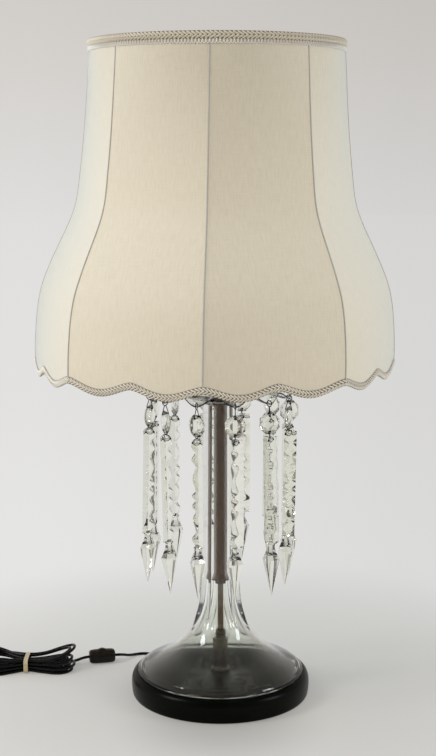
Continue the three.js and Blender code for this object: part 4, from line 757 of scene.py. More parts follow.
def glass_spot(column, row):
    panel, number = divmod(column, len(PANEL_COLUMNS))
    turn = PANEL_COLUMNS[number]
    away = abs(turn)
    degrees = PANEL_TURN + panel * 360 / PANELS + turn
    if row < FLARE_ROWS:
        height = max(RIM_EASE, creases[away] * (row / FLARE_ROWS) ** 1.25)
        return around(degrees, flare_radius(height), glass_low + height)
    row -= FLARE_ROWS
    if row <= PANEL_ROWS:
        height = mixed(creases[away], FLARE_HEIGHT, (row / PANEL_ROWS) ** 1.2)
        return around(degrees, panel_radius(away, height), glass_low + height)
    row -= PANEL_ROWS
    if row <= COLUMN_ROWS:
        height = mixed(FLARE_HEIGHT, GLASS_HEIGHT, row / COLUMN_ROWS)
        if row == COLUMN_ROWS:
            height -= RIM_EASE
        return around(degrees, panel_radius(away, height), glass_low + height)
    row -= COLUMN_ROWS + 1
    if row == 0:
        return around(degrees, panel_radius(away, GLASS_HEIGHT) - RIM_EASE, glass_low + GLASS_HEIGHT)
    if row <= BORE_ROWS:
        height, radius = BORE[BORE_ROWS - row]
        return around(degrees, radius, glass_low + height)
    row -= BORE_ROWS + 1
    if row < HOLLOW_ROWS:
        height = CAVITY_HEIGHT * (1 - row / (HOLLOW_ROWS - 1)) ** 1.3
        return around(degrees, eased(HOLLOW, height), glass_low + height)
    return around(degrees, FOOT_RADIUS - RIM_EASE, glass_low)


def clear_glass(name, tint, ior, bump, scale, roughness, worn_roughness, dust=0.0):
    worn_tint = [part * 0.97 for part in tint]
    made = worn_material(name, tint, worn_tint, 0.5, scale, roughness, worn_roughness, bump, Metallic=0,
                         Transmission_Weight=1, IOR=ior, Sheen_Weight=dust, Sheen_Roughness=0.35)
    tree = made.node_tree
    waves = noise(tree, place(tree, "TexCoord").outputs["Object"], scale, 1.0)
    tree.links.new(waves, tree.nodes["Bump"].inputs["Height"])
    return made


pressed_glass = clear_glass("pressed_glass", (0.98, 0.985, 0.965), 1.52, 0.2 * MM, 30, 0.035, 0.07)
moulded_face = clear_glass("moulded_face", (0.86, 0.895, 0.81), 1.52, 0.1 * MM, 60, 0.08, 0.16)
drilled_wall = worn_material("darkened_bore", (0.10, 0.050, 0.018), (0.20, 0.12, 0.055), 0.5, 40, 0.35, 0.5,
                             0.02 * MM, Transmission_Weight=0.3, IOR=1.52, Specular_Tint=(1.0, 0.68, 0.40, 1))
glass_rows = FLARE_ROWS + PANEL_ROWS + 1 + COLUMN_ROWS + 1 + BORE_ROWS + HOLLOW_ROWS + 1
column_glass = finished("glass_foot_and_column", spun(glass_rows, PANELS * len(PANEL_COLUMNS), glass_spot),
                        "lamp", "cut_glass", pressed_glass, "glass_body", crisp=9)
column_glass.data.materials.append(drilled_wall)
column_glass.data.materials.append(moulded_face)
BORE_SLOT, HOLLOW_SLOT, HOLLOW_MARGIN = 1, 2, 1 * MM
for face in column_glass.data.polygons:
    above_mouth = face.center.z - glass_low - CAVITY_HEIGHT
    if face.center.xy.length < CAVITY_TOP_RADIUS and above_mouth > 0:
        face.material_index = BORE_SLOT
    elif above_mouth < 0 and face.center.xy.length < eased(HOLLOW, face.center.z - glass_low) + HOLLOW_MARGIN:
        face.material_index = HOLLOW_SLOT


# Dish: a pressed glass dish with twelve drooping lobes, each drilled for a wire ring. It lies on the
# column under a turned neck of bright nickel.
DROPS, FIRST_DROP, DROP_CIRCLE = 12, 11.5, 80.1 * MM
DISH_HUB, DISH_RISE, LOBE_TIP, LOBE_REACH, LOBE_DROOP = 14 * MM, 15 * MM, 82 * MM, 4.6 * MM, 8.8 * MM
DISH_THICKNESS, DISH_EDGE, RING_RADIUS, WIRE_HOLE = 4 * MM, 1.6 * MM, 3.4 * MM, 1.7 * MM
DISH_SECTION = [(DISH_HUB / LOBE_TIP, 0), (0.3, 0.17), (0.5, 0.52), (0.7, 0.84), (0.86, 1), (1, 1)]
DISH_ROWS, LOBE_COLUMNS, NECK_GAP = 18, 14, 0.3 * MM
dish_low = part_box("bobeche_neck")[0].z - NECK_GAP - DISH_THICKNESS
LOBE_HOLE_HEIGHT, LOBE_HOLE_LENGTH = 7 * MM, 16 * MM


def dish_spot(column, row):
    degrees = FIRST_DROP + column * 360 / (DROPS * LOBE_COLUMNS)
    top = row > DISH_ROWS
    step = 2 * DISH_ROWS + 1 - row if top else row
    if step == 0:
        return around(degrees, PIPE_HOLE, dish_low + (DISH_THICKNESS if top else 0))
    share = mixed(DISH_HUB / LOBE_TIP, 1, (step - 1) / (DISH_ROWS - 1))
    lobe = (1 + math.cos(math.radians((degrees - FIRST_DROP) * DROPS))) / 2
    fade = smoothed(0.62, 0.92, share)
    height = eased(DISH_SECTION, share) * DISH_RISE - LOBE_DROOP * lobe * fade
    thickness = mixed(DISH_THICKNESS, DISH_EDGE, share)
    radius = share * (LOBE_TIP - LOBE_REACH * (1 - lobe) * fade)
    return around(degrees, radius, dish_low + height + (thickness if top else 0))


lobe_holes = bmesh.new()
for index in range(DROPS):
    spot = around(FIRST_DROP + index * 360 / DROPS, DROP_CIRCLE - RING_RADIUS, dish_low + LOBE_HOLE_HEIGHT)
    bmesh.ops.create_cone(lobe_holes, cap_ends=True, segments=16, radius1=WIRE_HOLE, radius2=WIRE_HOLE,
                          depth=LOBE_HOLE_LENGTH, matrix=Matrix.Translation(spot))
dish = finished("lobed_dish", spun(2 * DISH_ROWS + 2, DROPS * LOBE_COLUMNS, dish_spot), "lamp", "cut_glass",
                pressed_glass, "bobeche", crisp=40)
carved(dish, lobe_holes)
neck_low, neck_high = (corner.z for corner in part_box("bobeche_neck"))
lathed("turned_neck", [
    (PIPE_HOLE, neck_low), (11.5 * MM, neck_low), (11.5 * MM, neck_low + 2.4 * MM),
    (8.6 * MM, neck_low + 4 * MM), (7.6 * MM, neck_low + 7 * MM), (7.0 * MM, neck_low + 22 * MM),
    (7.6 * MM, neck_low + 27 * MM), (7.0 * MM, neck_low + 32 * MM), (7.6 * MM, neck_high - 8 * MM),
    (9.4 * MM, neck_high - 3.4 * MM), (10.5 * MM, neck_high - 2.2 * MM), (10.5 * MM, neck_high),
    (PIPE_HOLE, neck_high)], 0.6 * MM,
    "lamp", "nickel", nickel_bright, "bobeche_neck")


# Drops: each hangs by a wire ring from its lobe: an eight-sided button with a flat table on both faces,
# and a long prism with a notched ridge and a spear point. Dark wire runs through the drilled holes, and
# its bends let some drops hang up to 1.3 degrees out of plumb.
BUTTON_WIDTH, BUTTON_HEIGHT, BUTTON_THICKNESS, BUTTON_DROP = 22 * MM, 24 * MM, 8.4 * MM, 21.8 * MM
GIRDLE, HOLE_INSET, PIN_HOLE = 1.2 * MM, 3.5 * MM, 0.8 * MM
BUTTON_TIERS = ((1, GIRDLE / 2, 0), (0.80, 2.75 * MM, 0.5), (0.5, BUTTON_THICKNESS / 2, 0))
PRISM_DROP, PRISM_LENGTH, PRISM_BODY = 36.8 * MM, 178 * MM, 118 * MM
PRISM_WIDTH, PRISM_DEPTH, PRISM_HOLE_DROP = 17 * MM, 11.5 * MM, 3.4 * MM
NECK_WIDTH, NECK_LENGTH, SPEAR_WIDTH, SPEAR_LENGTH, PRISM_ROWS = 8.6 * MM, 9 * MM, 19.4 * MM, 42 * MM, 84
RIDGE = [(0, 0.62), (0.0712, 0.98), (0.1229, 0.58), (0.1898, 0.96), (0.25, 0.54), (0.372, 0.86),
         (0.4873, 0.56), (0.5246, 0.94), (0.5746, 0.56), (0.6229, 0.94), (0.6737, 0.56), (0.7458, 0.84),
         (0.8797, 0.55), (0.928, 0.96), (1, 0.6)]
RIDGE_TOWARDS = [-18, -14, -40, 60, 150, 200, 170, 70, 260, 78, 80, -80]
BUTTON_TOWARDS = [0, 8, 75, 20, 140, 190, 175, 100, 250, 70, -70, -45]
PLUMB_LEAN = [0, -0.9, 0.9, 0, 0.4, 0, -0.5, 0, 0.6, 1.0, -1.3, -0.3]
swing_height = next(joint["pos_m"][2] for joint in frame["joints"] if joint["name"] == "drop_01_swing")


def faceted(bm, ease, from_angle=12):
    sharp = [edge for edge in bm.edges if edge.calc_face_angle(0) > math.radians(from_angle)]
    bmesh.ops.bevel(bm, geom=sharp, offset=ease, affect="EDGES", segments=1, profile=0.5, material=-1,
                    clamp_overlap=True)
    return bm


def button():
    bm = bmesh.new()
    for size, lift, turn in BUTTON_TIERS:
        facing = (Matrix.Rotation(math.pi / 2, 4, "X")
                  @ Matrix.Rotation(math.pi / 8 + turn * math.pi / 4, 4, "Z"))
        for side in (-1, 1):
            bmesh.ops.create_circle(bm, segments=8, radius=size / math.cos(math.pi / 8) / 2, matrix=(
                Matrix.Diagonal((BUTTON_WIDTH, 1, BUTTON_HEIGHT, 1))
                @ Matrix.Translation((0, side * lift, 0)) @ facing))
    hull = bmesh.ops.convex_hull(bm, input=bm.verts)
    bmesh.ops.delete(bm, geom=list({item for item in hull["geom_unused"] + hull["geom_interior"]
                                    if isinstance(item, bmesh.types.BMVert)}), context="VERTS")
    bmesh.ops.dissolve_limit(bm, angle_limit=math.radians(2), verts=bm.verts, edges=bm.edges)
    return faceted(bm, 0.12 * MM)


def prism():
    back = PRISM_DEPTH * 0.42

    def notched(down):
        share = eased(RIDGE, down)
        front, flat = back - PRISM_DEPTH * share, (PRISM_WIDTH * (1 - share) + 0.8 * MM) / 2
        return [(-PRISM_WIDTH / 2, back), (-flat, front), (flat, front), (PRISM_WIDTH / 2, back),
                (PRISM_WIDTH / 4, back), (-PRISM_WIDTH / 4, back)], down * PRISM_BODY

    def pointed(width, down):
        corners = [math.pi * (1 + side / 3) for side in range(6)]
        return [(width / 2 * math.cos(turn), width / 2 * math.sin(turn)) for turn in corners], down

    rings = [notched(row / PRISM_ROWS) for row in range(PRISM_ROWS + 1)]
    rings += [pointed(width, PRISM_BODY + NECK_LENGTH * down) for width, down in (
        (NECK_WIDTH * 1.12, 0.22), (NECK_WIDTH, 0.5), (NECK_WIDTH * 1.04, 0.8))]
    rings += [pointed(SPEAR_WIDTH * 0.86, PRISM_LENGTH - SPEAR_LENGTH - 1.6 * MM),
              pointed(SPEAR_WIDTH, PRISM_LENGTH - SPEAR_LENGTH + 0.6 * MM), pointed(0.6 * MM, PRISM_LENGTH)]
    cut = lofted([[Vector((x, y, -down)) for x, y in spots] for spots, down in rings])
    return faceted(cut, 0.15 * MM, from_angle=28)


def wire(lines, radius, closed=False, steps=4, roundness=1):
    holder = bent_line("wire", lines, radius, roundness, steps, closed)
    shape = bpy.data.meshes.new_from_object(holder.evaluated_get(bpy.context.evaluated_depsgraph_get()))
    bm = bmesh.new()
    bm.from_mesh(shape)
    bpy.data.objects.remove(holder)
    bpy.data.meshes.remove(shape)
    bmesh.ops.remove_doubles(bm, verts=bm.verts, dist=MERGE_DISTANCE)
    bmesh.ops.recalc_face_normals(bm, faces=bm.faces)
    return bm


def joined(bm, added):
    shape = bpy.data.meshes.new("added")
    added.to_mesh(shape)
    added.free()
    bm.from_mesh(shape)
    bpy.data.meshes.remove(shape)
    return bm


def clip(from_height, hole_height, near, far, towards):
    shoulder = mixed(from_height, hole_height, 0.55)
    corners = [(-0.3 * MM, from_height), (-near * 0.85, shoulder), (-near, hole_height), (far, hole_height),
               (far * 0.85, shoulder), (0.3 * MM, from_height)]
    return [Matrix.Rotation(math.radians(towards), 3, "Z") @ Vector((0, y, z)) for y, z in corners]


lead_glass = clear_glass("lead_glass", (0.94, 0.945, 0.88), 1.53, 0.02 * MM, 60, 0.015, 0.06, dust=0.12)
dark_wire = worn_material("dark_wire", (0.015, 0.013, 0.011), (0.06, 0.05, 0.035), 0.5, 300, 0.42, 0.5,
                          0.01 * MM, Metallic=1.0)
button_holes = (BUTTON_HEIGHT / 2 - HOLE_INSET, -BUTTON_HEIGHT / 2 + HOLE_INSET)
PIN_REACH, PRISM_FRONT, PRISM_BACK, PIN_HEAD = 2.9 * MM, 4.6 * MM, 5.1 * MM, 1.25 * MM
RING_WIRE, PIN_WIRE, TWIST_ABOVE, DRILL_LENGTH = 0.52 * MM, 0.46 * MM, 5 * MM, 30 * MM
BUTTON_CRISP, PRISM_CRISP = 5, 24
ring = [Vector((0, RING_RADIUS * math.cos(step * math.pi / 4), RING_RADIUS * math.sin(step * math.pi / 4)))
        for step in range(8)]
upper, lower = (-BUTTON_DROP + hole for hole in button_holes)
under, twist = -PRISM_DROP - PRISM_HOLE_DROP, lower - TWIST_ABOVE
for index in range(DROPS):
    turn = FIRST_DROP + index * 360 / DROPS
    button_turn, prism_turn = BUTTON_TOWARDS[index], RIDGE_TOWARDS[index]
    number = f"{index + 1:02d}"
    body = f"drop_{number}"
    hang = (Matrix.Translation(around(turn, DROP_CIRCLE, swing_height))
            @ Matrix.Rotation(math.radians(PLUMB_LEAN[index]), 4, "Y"))
    for name, shape, drop, towards, node, holes, crisp in (
            ("button", button(), BUTTON_DROP, button_turn, "crystal_button", button_holes, BUTTON_CRISP),
            ("prism", prism(), PRISM_DROP, prism_turn, "prism", (-PRISM_HOLE_DROP,), PRISM_CRISP)):
        put = hang @ Matrix.Translation((0, 0, -drop)) @ Matrix.Rotation(math.radians(towards), 4, "Z")
        bmesh.ops.transform(shape, verts=shape.verts, matrix=put)
        drill = bmesh.new()
        for hole in holes:
            bmesh.ops.create_cone(drill, cap_ends=True, segments=10, radius1=PIN_HOLE, radius2=PIN_HOLE,
                                  depth=DRILL_LENGTH, matrix=put @ Matrix.Translation((0, 0, hole))
                                  @ Matrix.Rotation(math.pi / 2, 4, "X"))
        cut = finished(f"{body}_{name}", shape, body, "cut_glass", lead_glass, f"{node}_{number}",
                       crisp=crisp)
        carved(cut, drill)
    ring_turn = Matrix.Rotation(math.radians(turn), 3, "Z")
    pin_places = ((-RING_RADIUS, upper, PIN_REACH, PIN_REACH, button_turn),
                  (twist, lower, PIN_REACH, PIN_REACH, button_turn),
                  (twist, under, PRISM_FRONT, PRISM_BACK, prism_turn))
    wires = wire([[ring_turn @ spot for spot in ring]], RING_WIRE, closed=True, steps=3)
    pins = wire([clip(*pin_place) for pin_place in pin_places], PIN_WIRE, closed=True, steps=3)
    for _, height, near, far, towards in pin_places:
        for reach in (-near, far):
            put = Matrix.Rotation(math.radians(towards), 4, "Z") @ Matrix.Translation((0, reach, height))
            bmesh.ops.create_uvsphere(pins, u_segments=10, v_segments=6, radius=PIN_HEAD, matrix=put)
    joined(wires, pins)
    bmesh.ops.transform(wires, verts=wires.verts, matrix=hang)
    finished(f"{body}_wires", wires, body, "nickel", dark_wire)


# Saddle and harp: the flat saddle is clamped above the neck, and the bowed brass wire of the harp stands
# on its two prongs under sliding sleeves. The shade sits on the threaded stud at its top.
HARP_WIRE, HARP_SPAN, HARP_HALF_WIDTH, HARP_STRAIGHT = 1.7 * MM, 27 * MM, 61 * MM, 24 * MM
SEAT_RADIUS, SEAT_HEIGHT, STUD_RADIUS, STUD_HEIGHT, STUD_THREADS = 6 * MM, 15 * MM, 3.1 * MM, 14 * MM, 14
SLEEVE_BORE, SLEEVE_RIM, SLEEVE_WAIST = 2.3 * MM, 3.9 * MM, 3.5 * MM
old_brass = worn_material("old_brass", (0.48, 0.33, 0.13), (0.20, 0.13, 0.06), 0.55, 60, 0.30, 0.5,
                          0.015 * MM, Metallic=1.0)
SADDLE_THICKNESS, SADDLE_CORNER, SADDLE_RIM = 2 * MM, 5 * MM, 0.4 * MM
PRONG_FOOT, PRONG_TOP, PRONG_SHORT = 2 * MM, 1.7 * MM, 0.5 * MM
saddle_low, saddle_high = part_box("harp_saddle")
saddle = bmesh.new()
bmesh.ops.create_cube(saddle, size=1, matrix=Matrix.Translation((0, 0, saddle_low.z + SADDLE_THICKNESS / 2))
                      @ Matrix.Diagonal((2 * saddle_high.x, 2 * saddle_high.y, SADDLE_THICKNESS, 1)))
corners = [edge for edge in saddle.edges if abs(edge.verts[0].co.z - edge.verts[1].co.z) > 1 * MM]
bmesh.ops.bevel(saddle, geom=corners, offset=SADDLE_CORNER, affect="EDGES", segments=8, profile=0.5,
                material=-1)
rims = [edge for edge in saddle.edges if edge.calc_face_angle(0) > 1]
bmesh.ops.bevel(saddle, geom=rims, offset=SADDLE_RIM, affect="EDGES", segments=2, profile=0.5, material=-1)
for side in (-1, 1):
    middle = (side * HARP_SPAN, 0, (saddle_low.z + saddle_high.z) / 2)
    bmesh.ops.create_cone(saddle, cap_ends=True, segments=24, radius1=PRONG_FOOT, radius2=PRONG_TOP,
                          depth=saddle_high.z - saddle_low.z - PRONG_SHORT, matrix=Matrix.Translation(middle))
bore = turned(tube(0, PIPE_HOLE, saddle_low.z - 2 * MM, saddle_low.z + 4 * MM), SMALL_ROUND)
carved(finished("saddle", saddle, "lamp", "old_brass", old_brass, "harp_saddle"), bore)

harp_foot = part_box("harp")[0].z
harp_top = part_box("harp")[1].z - STUD_HEIGHT
bow_top = harp_top - SEAT_HEIGHT
BOW = [(0.14, 0.58), (0.3, 0.9), (0.5, 1), (0.68, 0.93), (0.85, 0.68), (1, 0.3)]
legs = [[(side * HARP_SPAN, 0, harp_foot + HARP_STRAIGHT * share) for share in (0, 0.5, 1)]
        + [(side * HARP_HALF_WIDTH * out, 0, mixed(harp_foot, bow_top, up)) for up, out in BOW]
        + [(0, 0, bow_top + SEAT_HEIGHT / 3)] for side in (-1, 1)]
finished("harp_wire", wire(legs, HARP_WIRE, steps=12, roundness=4), "lamp", "old_brass", old_brass, "harp")
stud = [(0, bow_top), (SEAT_RADIUS, bow_top), (SEAT_RADIUS, harp_top), (STUD_RADIUS, harp_top)]
for step in range(STUD_THREADS):
    stud += [(STUD_RADIUS - 0.3 * MM, harp_top + (step + 0.1) * MM),
             (STUD_RADIUS, harp_top + (step + 0.55) * MM)]
stud += [(STUD_RADIUS - 0.6 * MM, harp_top + STUD_HEIGHT), (0, harp_top + STUD_HEIGHT)]
finished("harp_seat", turned(stud, 48), "lamp", "old_brass", old_brass, crisp=50)
for side, name in ((-1, "left"), (1, "right")):
    low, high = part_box(f"harp_sleeve_{name}")
    sleeve = turned(softened([
        (SLEEVE_BORE, low.z), (SLEEVE_RIM, low.z), (SLEEVE_RIM, low.z + 2 * MM),
        (SLEEVE_WAIST, low.z + 2.6 * MM), (SLEEVE_WAIST, high.z - 2.6 * MM), (SLEEVE_RIM, high.z - 2 * MM),
        (SLEEVE_RIM, high.z), (SLEEVE_BORE, high.z)], 0.3 * MM), 40)
    bmesh.ops.translate(sleeve, verts=sleeve.verts, vec=(side * HARP_SPAN, 0, 0))
    finished(f"sleeve_{name}", sleeve, f"harp_sleeve_{name}", "old_brass", old_brass, f"harp_sleeve_{name}")


# Socket: a spun brass cap screwed on the pipe, a brass shell with a beaded rim, and in it the dark moulded
# core that takes the bulb.
cap_low, cap_high = (corner.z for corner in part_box("socket_cap"))
CAP_RADIUS, SHEET = 17.3 * MM, 0.8 * MM
lathed("socket_cap_spun", [
    (PIPE_HOLE, cap_low), (10.4 * MM, cap_low), (15.5 * MM, cap_low + 4.2 * MM),
    (CAP_RADIUS, cap_low + 9.0 * MM), (CAP_RADIUS, cap_high - 3 * MM),
    (CAP_RADIUS - 0.3 * MM, cap_high - 2 * MM), (CAP_RADIUS, cap_high - 1 * MM),
    (CAP_RADIUS, cap_high), (CAP_RADIUS - SHEET, cap_high),
    (CAP_RADIUS - SHEET, cap_low + 9.3 * MM), (14.2 * MM, cap_low + 8.6 * MM),
    (PIPE_HOLE, cap_low + 8.6 * MM)], 0.5 * MM,
    "lamp", "old_brass", old_brass, "socket_cap")
shell_low, shell_high = (corner.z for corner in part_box("socket_shell"))
SHELL_RADIUS = 16.2 * MM
lathed("socket_shell_tube", [
    (SHELL_RADIUS - SHEET, shell_low), (SHELL_RADIUS, shell_low), (SHELL_RADIUS, shell_high - 3.2 * MM),
    (SHELL_RADIUS - 0.4 * MM, shell_high - 2.4 * MM), (SHELL_RADIUS, shell_high - 1.4 * MM),
    (SHELL_RADIUS, shell_high), (SHELL_RADIUS - SHEET, shell_high)], 0.3 * MM,
    "lamp", "old_brass", old_brass, "socket_shell")
core_low, core_high = (corner.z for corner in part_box("socket_core"))
CORE_BORE, CORE_RADIUS, CORE_FLOOR = 13.2 * MM, 14.6 * MM, core_low + 10 * MM
lathed("socket_core_moulded", [
    (0, core_low), (CORE_RADIUS, core_low), (CORE_RADIUS, core_high), (CORE_BORE, core_high),
    (CORE_BORE, CORE_FLOOR), (0, CORE_FLOOR)], 0.4 * MM, "lamp", "phenolic", bakelite, "socket_core")


# Bulb: a frosted pear bulb of blown glass, screwed in the core of the socket. Its base is nickel-plated
# sheet with the thread rolled in it.
bulb_low, bulb_high = (corner.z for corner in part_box("bulb"))
BULB_BASE, BULB_RADIUS, BULB_THREAD, BULB_THREADS, BULB_STEPS = 12.9 * MM, 30 * MM, 3.6 * MM, 5, 12
neck, bulb_middle = bulb_low + 26 * MM, bulb_high - BULB_RADIUS
frosted = worn_material("frosted_glass", (0.86, 0.85, 0.81), (0.80, 0.79, 0.75), 0.5, 30, 0.38, 0.5,
                        0.01 * MM, Subsurface_Weight=0.25, Coat_Weight=0.3)
glass_bulb = [(0, neck - 1 * MM), (12.2 * MM, neck - 1 * MM), (12.9 * MM, neck + 2 * MM),
              (13.6 * MM, neck + 6 * MM), (16.4 * MM, neck + 14 * MM), (20.4 * MM, neck + 22 * MM),
              (25.2 * MM, neck + 31 * MM), (28.3 * MM, bulb_middle - 10 * MM),
              (29.6 * MM, bulb_middle - 4.6 * MM)]
for step in range(BULB_STEPS):
    turn = step * math.pi / (2 * BULB_STEPS)
    glass_bulb.append((BULB_RADIUS * math.cos(turn), bulb_middle + BULB_RADIUS * math.sin(turn)))
glass_bulb.append((0, bulb_high))
finished("bulb_frosted", turned(glass_bulb), "bulb", "bulb_glass", frosted, "bulb", crisp=60)
thread_start = bulb_low + 5.5 * MM
screw = [(0, bulb_low), (4.5 * MM, bulb_low), (6.5 * MM, bulb_low + 1.5 * MM), (11.5 * MM, bulb_low + 4 * MM)]
for step in range(BULB_THREADS):
    screw += [(BULB_BASE - 1.1 * MM, thread_start + step * BULB_THREAD),
              (BULB_BASE, thread_start + (step + 0.5) * BULB_THREAD)]
screw += [(BULB_BASE - 0.6 * MM, neck), (BULB_BASE - 0.3 * MM, neck + 2 * MM), (0, neck + 2 * MM)]
lathed("bulb_screw_base", screw, 0.9 * MM, "bulb", "nickel", nickel_bright, steps=48, crisp=70)


# Shade cover: eight gores of slubbed silk-like fabric, sewn along piped seams and stretched over the
# frame from the round top ring to sixteen scallops at the hem.
GORES, SCALLOPS, SEAM_TURN, SCALLOP_DEPTH = 8, 16, -2.8, 9.5 * MM
HEM_LEAN, TOP_LEAN = -7.7 * MM, -3.6 * MM
HEM_HEIGHT, SHADE_TOP = 372.7 * MM, 737.3 * MM
SHADE_HEIGHT = SHADE_TOP - HEM_HEIGHT
OUTLINE = [(up, radius * MM) for up, radius in (
    (0, 199.4), (0.0219, 200.3), (0.0549, 201), (0.0933, 200.9), (0.1481, 199.8), (0.2112, 197.4),
    (0.2715, 192.6), (0.3319, 184), (0.3922, 173.8), (0.4526, 163.3), (0.4992, 156.6), (0.5403, 153),
    (0.5952, 150.4), (0.6637, 147.6), (0.7323, 145.2), (0.8118, 143), (0.8969, 141), (0.96, 139.6),
    (1, 138.8))]
ROUNDNESS = [(0, 0.5), (0.1646, 0.42), (0.4388, 0.3), (0.7131, 0.45), (1, 1)]


def gore_turn(degrees):
    return (degrees - SEAM_TURN) % (360 / GORES) - 180 / GORES


def lean(height):
    return Vector((mixed(HEM_LEAN, TOP_LEAN, (height - HEM_HEIGHT) / SHADE_HEIGHT), 0, 0))


def shade_spot(degrees, height, inward=0.0):
    flat = math.cos(math.pi / GORES) / math.cos(math.radians(gore_turn(degrees)))
    above = (height - HEM_HEIGHT) / SHADE_HEIGHT
    radius = eased(OUTLINE, above) * mixed(flat, 1, eased(ROUNDNESS, above))
    return around(degrees, radius - inward, height) + lean(height)


def hem_height(degrees):
    phase = (degrees - SEAM_TURN) / (360 / SCALLOPS)
    return HEM_HEIGHT + SCALLOP_DEPTH * (1 - abs(math.sin(math.pi * phase)) ** 1.45)


def cloth_group():
    group, given = node_group("slubbed_weave", {
        "Vector": "Vector", "Threads": "Float", "Colour": "Color", "Slub Colour": "Color", "Slubs": "Float"},
        {"Colour": "Color", "Roughness": "Float", "Height": "Float"})
    scaled = place(group, "VectorMath", {0: given["Vector"], "Scale": given["Threads"]},
                   operation="SCALE").outputs[0]

    def threads(factors, detail):
        drawn_out = place(group, "VectorMath", {0: scaled, 1: factors}, operation="MULTIPLY").outputs[0]
        return noise(group, drawn_out, 1.0, detail)

    warp, weft = threads((1, 0.012, 1), 2.0), threads((0.02, 0.8, 1), 2.0)
    streaks = level(group, threads((0.28, 0.03, 1), 3.0), 0.42, 0.75)
    specks = level(group, threads((0.3, 0.12, 1), 1.0), 0.66, 0.76)
    slubs = maths(group, "MULTIPLY", maths(group, "ADD", streaks, specks, use_clamp=True), given["Slubs"])
    tone = mix(group, slubs, given["Colour"], given["Slub Colour"])
    grain = maths(group, "ADD", warp, weft)
    return give_out(group, {
        "Colour": dimmed(group, tone, level(group, grain, 0.6, 1.4, 0.93, 1.05)),
        "Roughness": level(group, grain, 0.6, 1.4, 0.62, 0.85),
        "Height": maths(group, "ADD", grain, streaks)})


WEAVE = cloth_group()
# Painted shade: the cloth's colour darkens towards the top of the shade, between these heights.
TOP_SHADE_FROM, TOP_SHADE_DIM, GORE_APART = (0.58, 0.71), 0.88, 0.4
SILK_SHEEN = {"Sheen_Weight": 1.0, "Sheen_Roughness": 0.38, "Sheen_Tint": (0.90, 1.0, 1.0, 1)}


def fabric(name, colour, slub_colour, slubs, threads, bump, **plain):
    values = {"Threads": threads, "Colour": (*colour, 1), "Slub Colour": (*slub_colour, 1), "Slubs": slubs}
    made = surfaced(name, WEAVE, values, bump, strength=0.6, **plain)
    tree = made.node_tree
    look = tree.nodes["Group"]
    tree.links.new(place(tree, "UVMap", uv_map="cloth").outputs[0], look.inputs["Vector"])
    # Painted shade: the colour is dimmed with height.
    height = place(tree, "SeparateXYZ", {0: place(tree, "TexCoord").outputs["Object"]}).outputs["Z"]
    painted_top_shade = dimmed(tree, look.outputs["Colour"], level(tree, height, *TOP_SHADE_FROM, 1.0, TOP_SHADE_DIM))
    tree.links.new(painted_top_shade, tree.nodes["Principled BSDF"].inputs["Base Color"])
    return made


def gore_cloth(columns, rows, top, bottom_at, inward, thickness):
    def spot(column, row):
        degrees = SEAM_TURN + column * 360 / columns
        inner = row > rows
        share = (2 * rows + 1 - row if inner else row) / rows
        bottom = bottom_at(degrees)
        return shade_spot(degrees, mixed(bottom, top, share), inward + (thickness if inner else 0))

    bm = spun(2 * rows + 2, columns, spot)
    unrolled = bm.loops.layers.uv.new("cloth")
    for face in bm.faces:
        middle = face.calc_center_median()
        middle -= lean(middle.z)
        turn = math.degrees(math.atan2(middle.x, -middle.y))
        centre = math.radians(turn - gore_turn(turn))
        gore = round((turn - gore_turn(turn)) / (360 / GORES))
        for loop in face.loops:
            place_on_gore = loop.vert.co
            across = place_on_gore.x * math.cos(centre) + place_on_gore.y * math.sin(centre)
            loop[unrolled].uv = (across + gore * GORE_APART, place_on_gore.z)
    return bm


COVER_THICKNESS, COVER_COLUMNS, COVER_ROWS = 1.0 * MM, 256, 56
silk = fabric("ecru_silk", (0.745, 0.645, 0.475), (0.61, 0.505, 0.35), 0.35, 2600, 0.12 * MM, **SILK_SHEEN,
              Specular_IOR_Level=0.5)
gores = gore_cloth(COVER_COLUMNS, COVER_ROWS, SHADE_TOP - 0.5 * MM, hem_height, 0, COVER_THICKNESS)
cover = finished("gored_cover", gores, "shade", "shade_cloth", silk, "shade_cover", crisp=14)


# Seams: the gores meet over a thin grey cord, piped into each of the eight seams. It runs from the top
# edge down to the braid of the hem.
PIPING, PIPING_DEPTH, SEAM_STEPS = 1.0 * MM, 0.35 * MM, 40
seam_turns = [SEAM_TURN + gore * 360 / GORES for gore in range(GORES)]
seam_lines = [[shade_spot(degrees, mixed(hem_height(degrees) + 4 * MM, SHADE_TOP - 8 * MM, step / SEAM_STEPS),
                          PIPING_DEPTH) for step in range(SEAM_STEPS + 1)] for degrees in seam_turns]
grey_cord = worn_material("grey_piping", (0.44, 0.39, 0.33), (0.34, 0.30, 0.25), 0.5, 400, 0.8, 0.9,
                          0.05 * MM, Sheen_Weight=0.35, Sheen_Roughness=0.4, Sheen_Tint=(1.0, 0.94, 0.88, 1))
piping = finished("seam_piping", wire(seam_lines, PIPING, steps=2), "shade", "shade_cloth", grey_cord)


# Lining: pale acetate cloth in eight gores like the cover. It is stretched inside the ribs of the frame
# and hides them from below.
FRAME_WIRE, SEAT = 1.3 * MM, 0.3 * MM
FRAME_INSET = 1.2 * MM + 1.5 * SEAT + FRAME_WIRE
LINING_INSET = FRAME_INSET + FRAME_WIRE + SEAT
LINING_COLUMNS, LINING_ROWS, LINING_THICKNESS = 128, 40, 0.8 * MM
lining_low, lining_high = (corner.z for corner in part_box("shade_lining"))


def lining_bottom(degrees):
    return lining_low


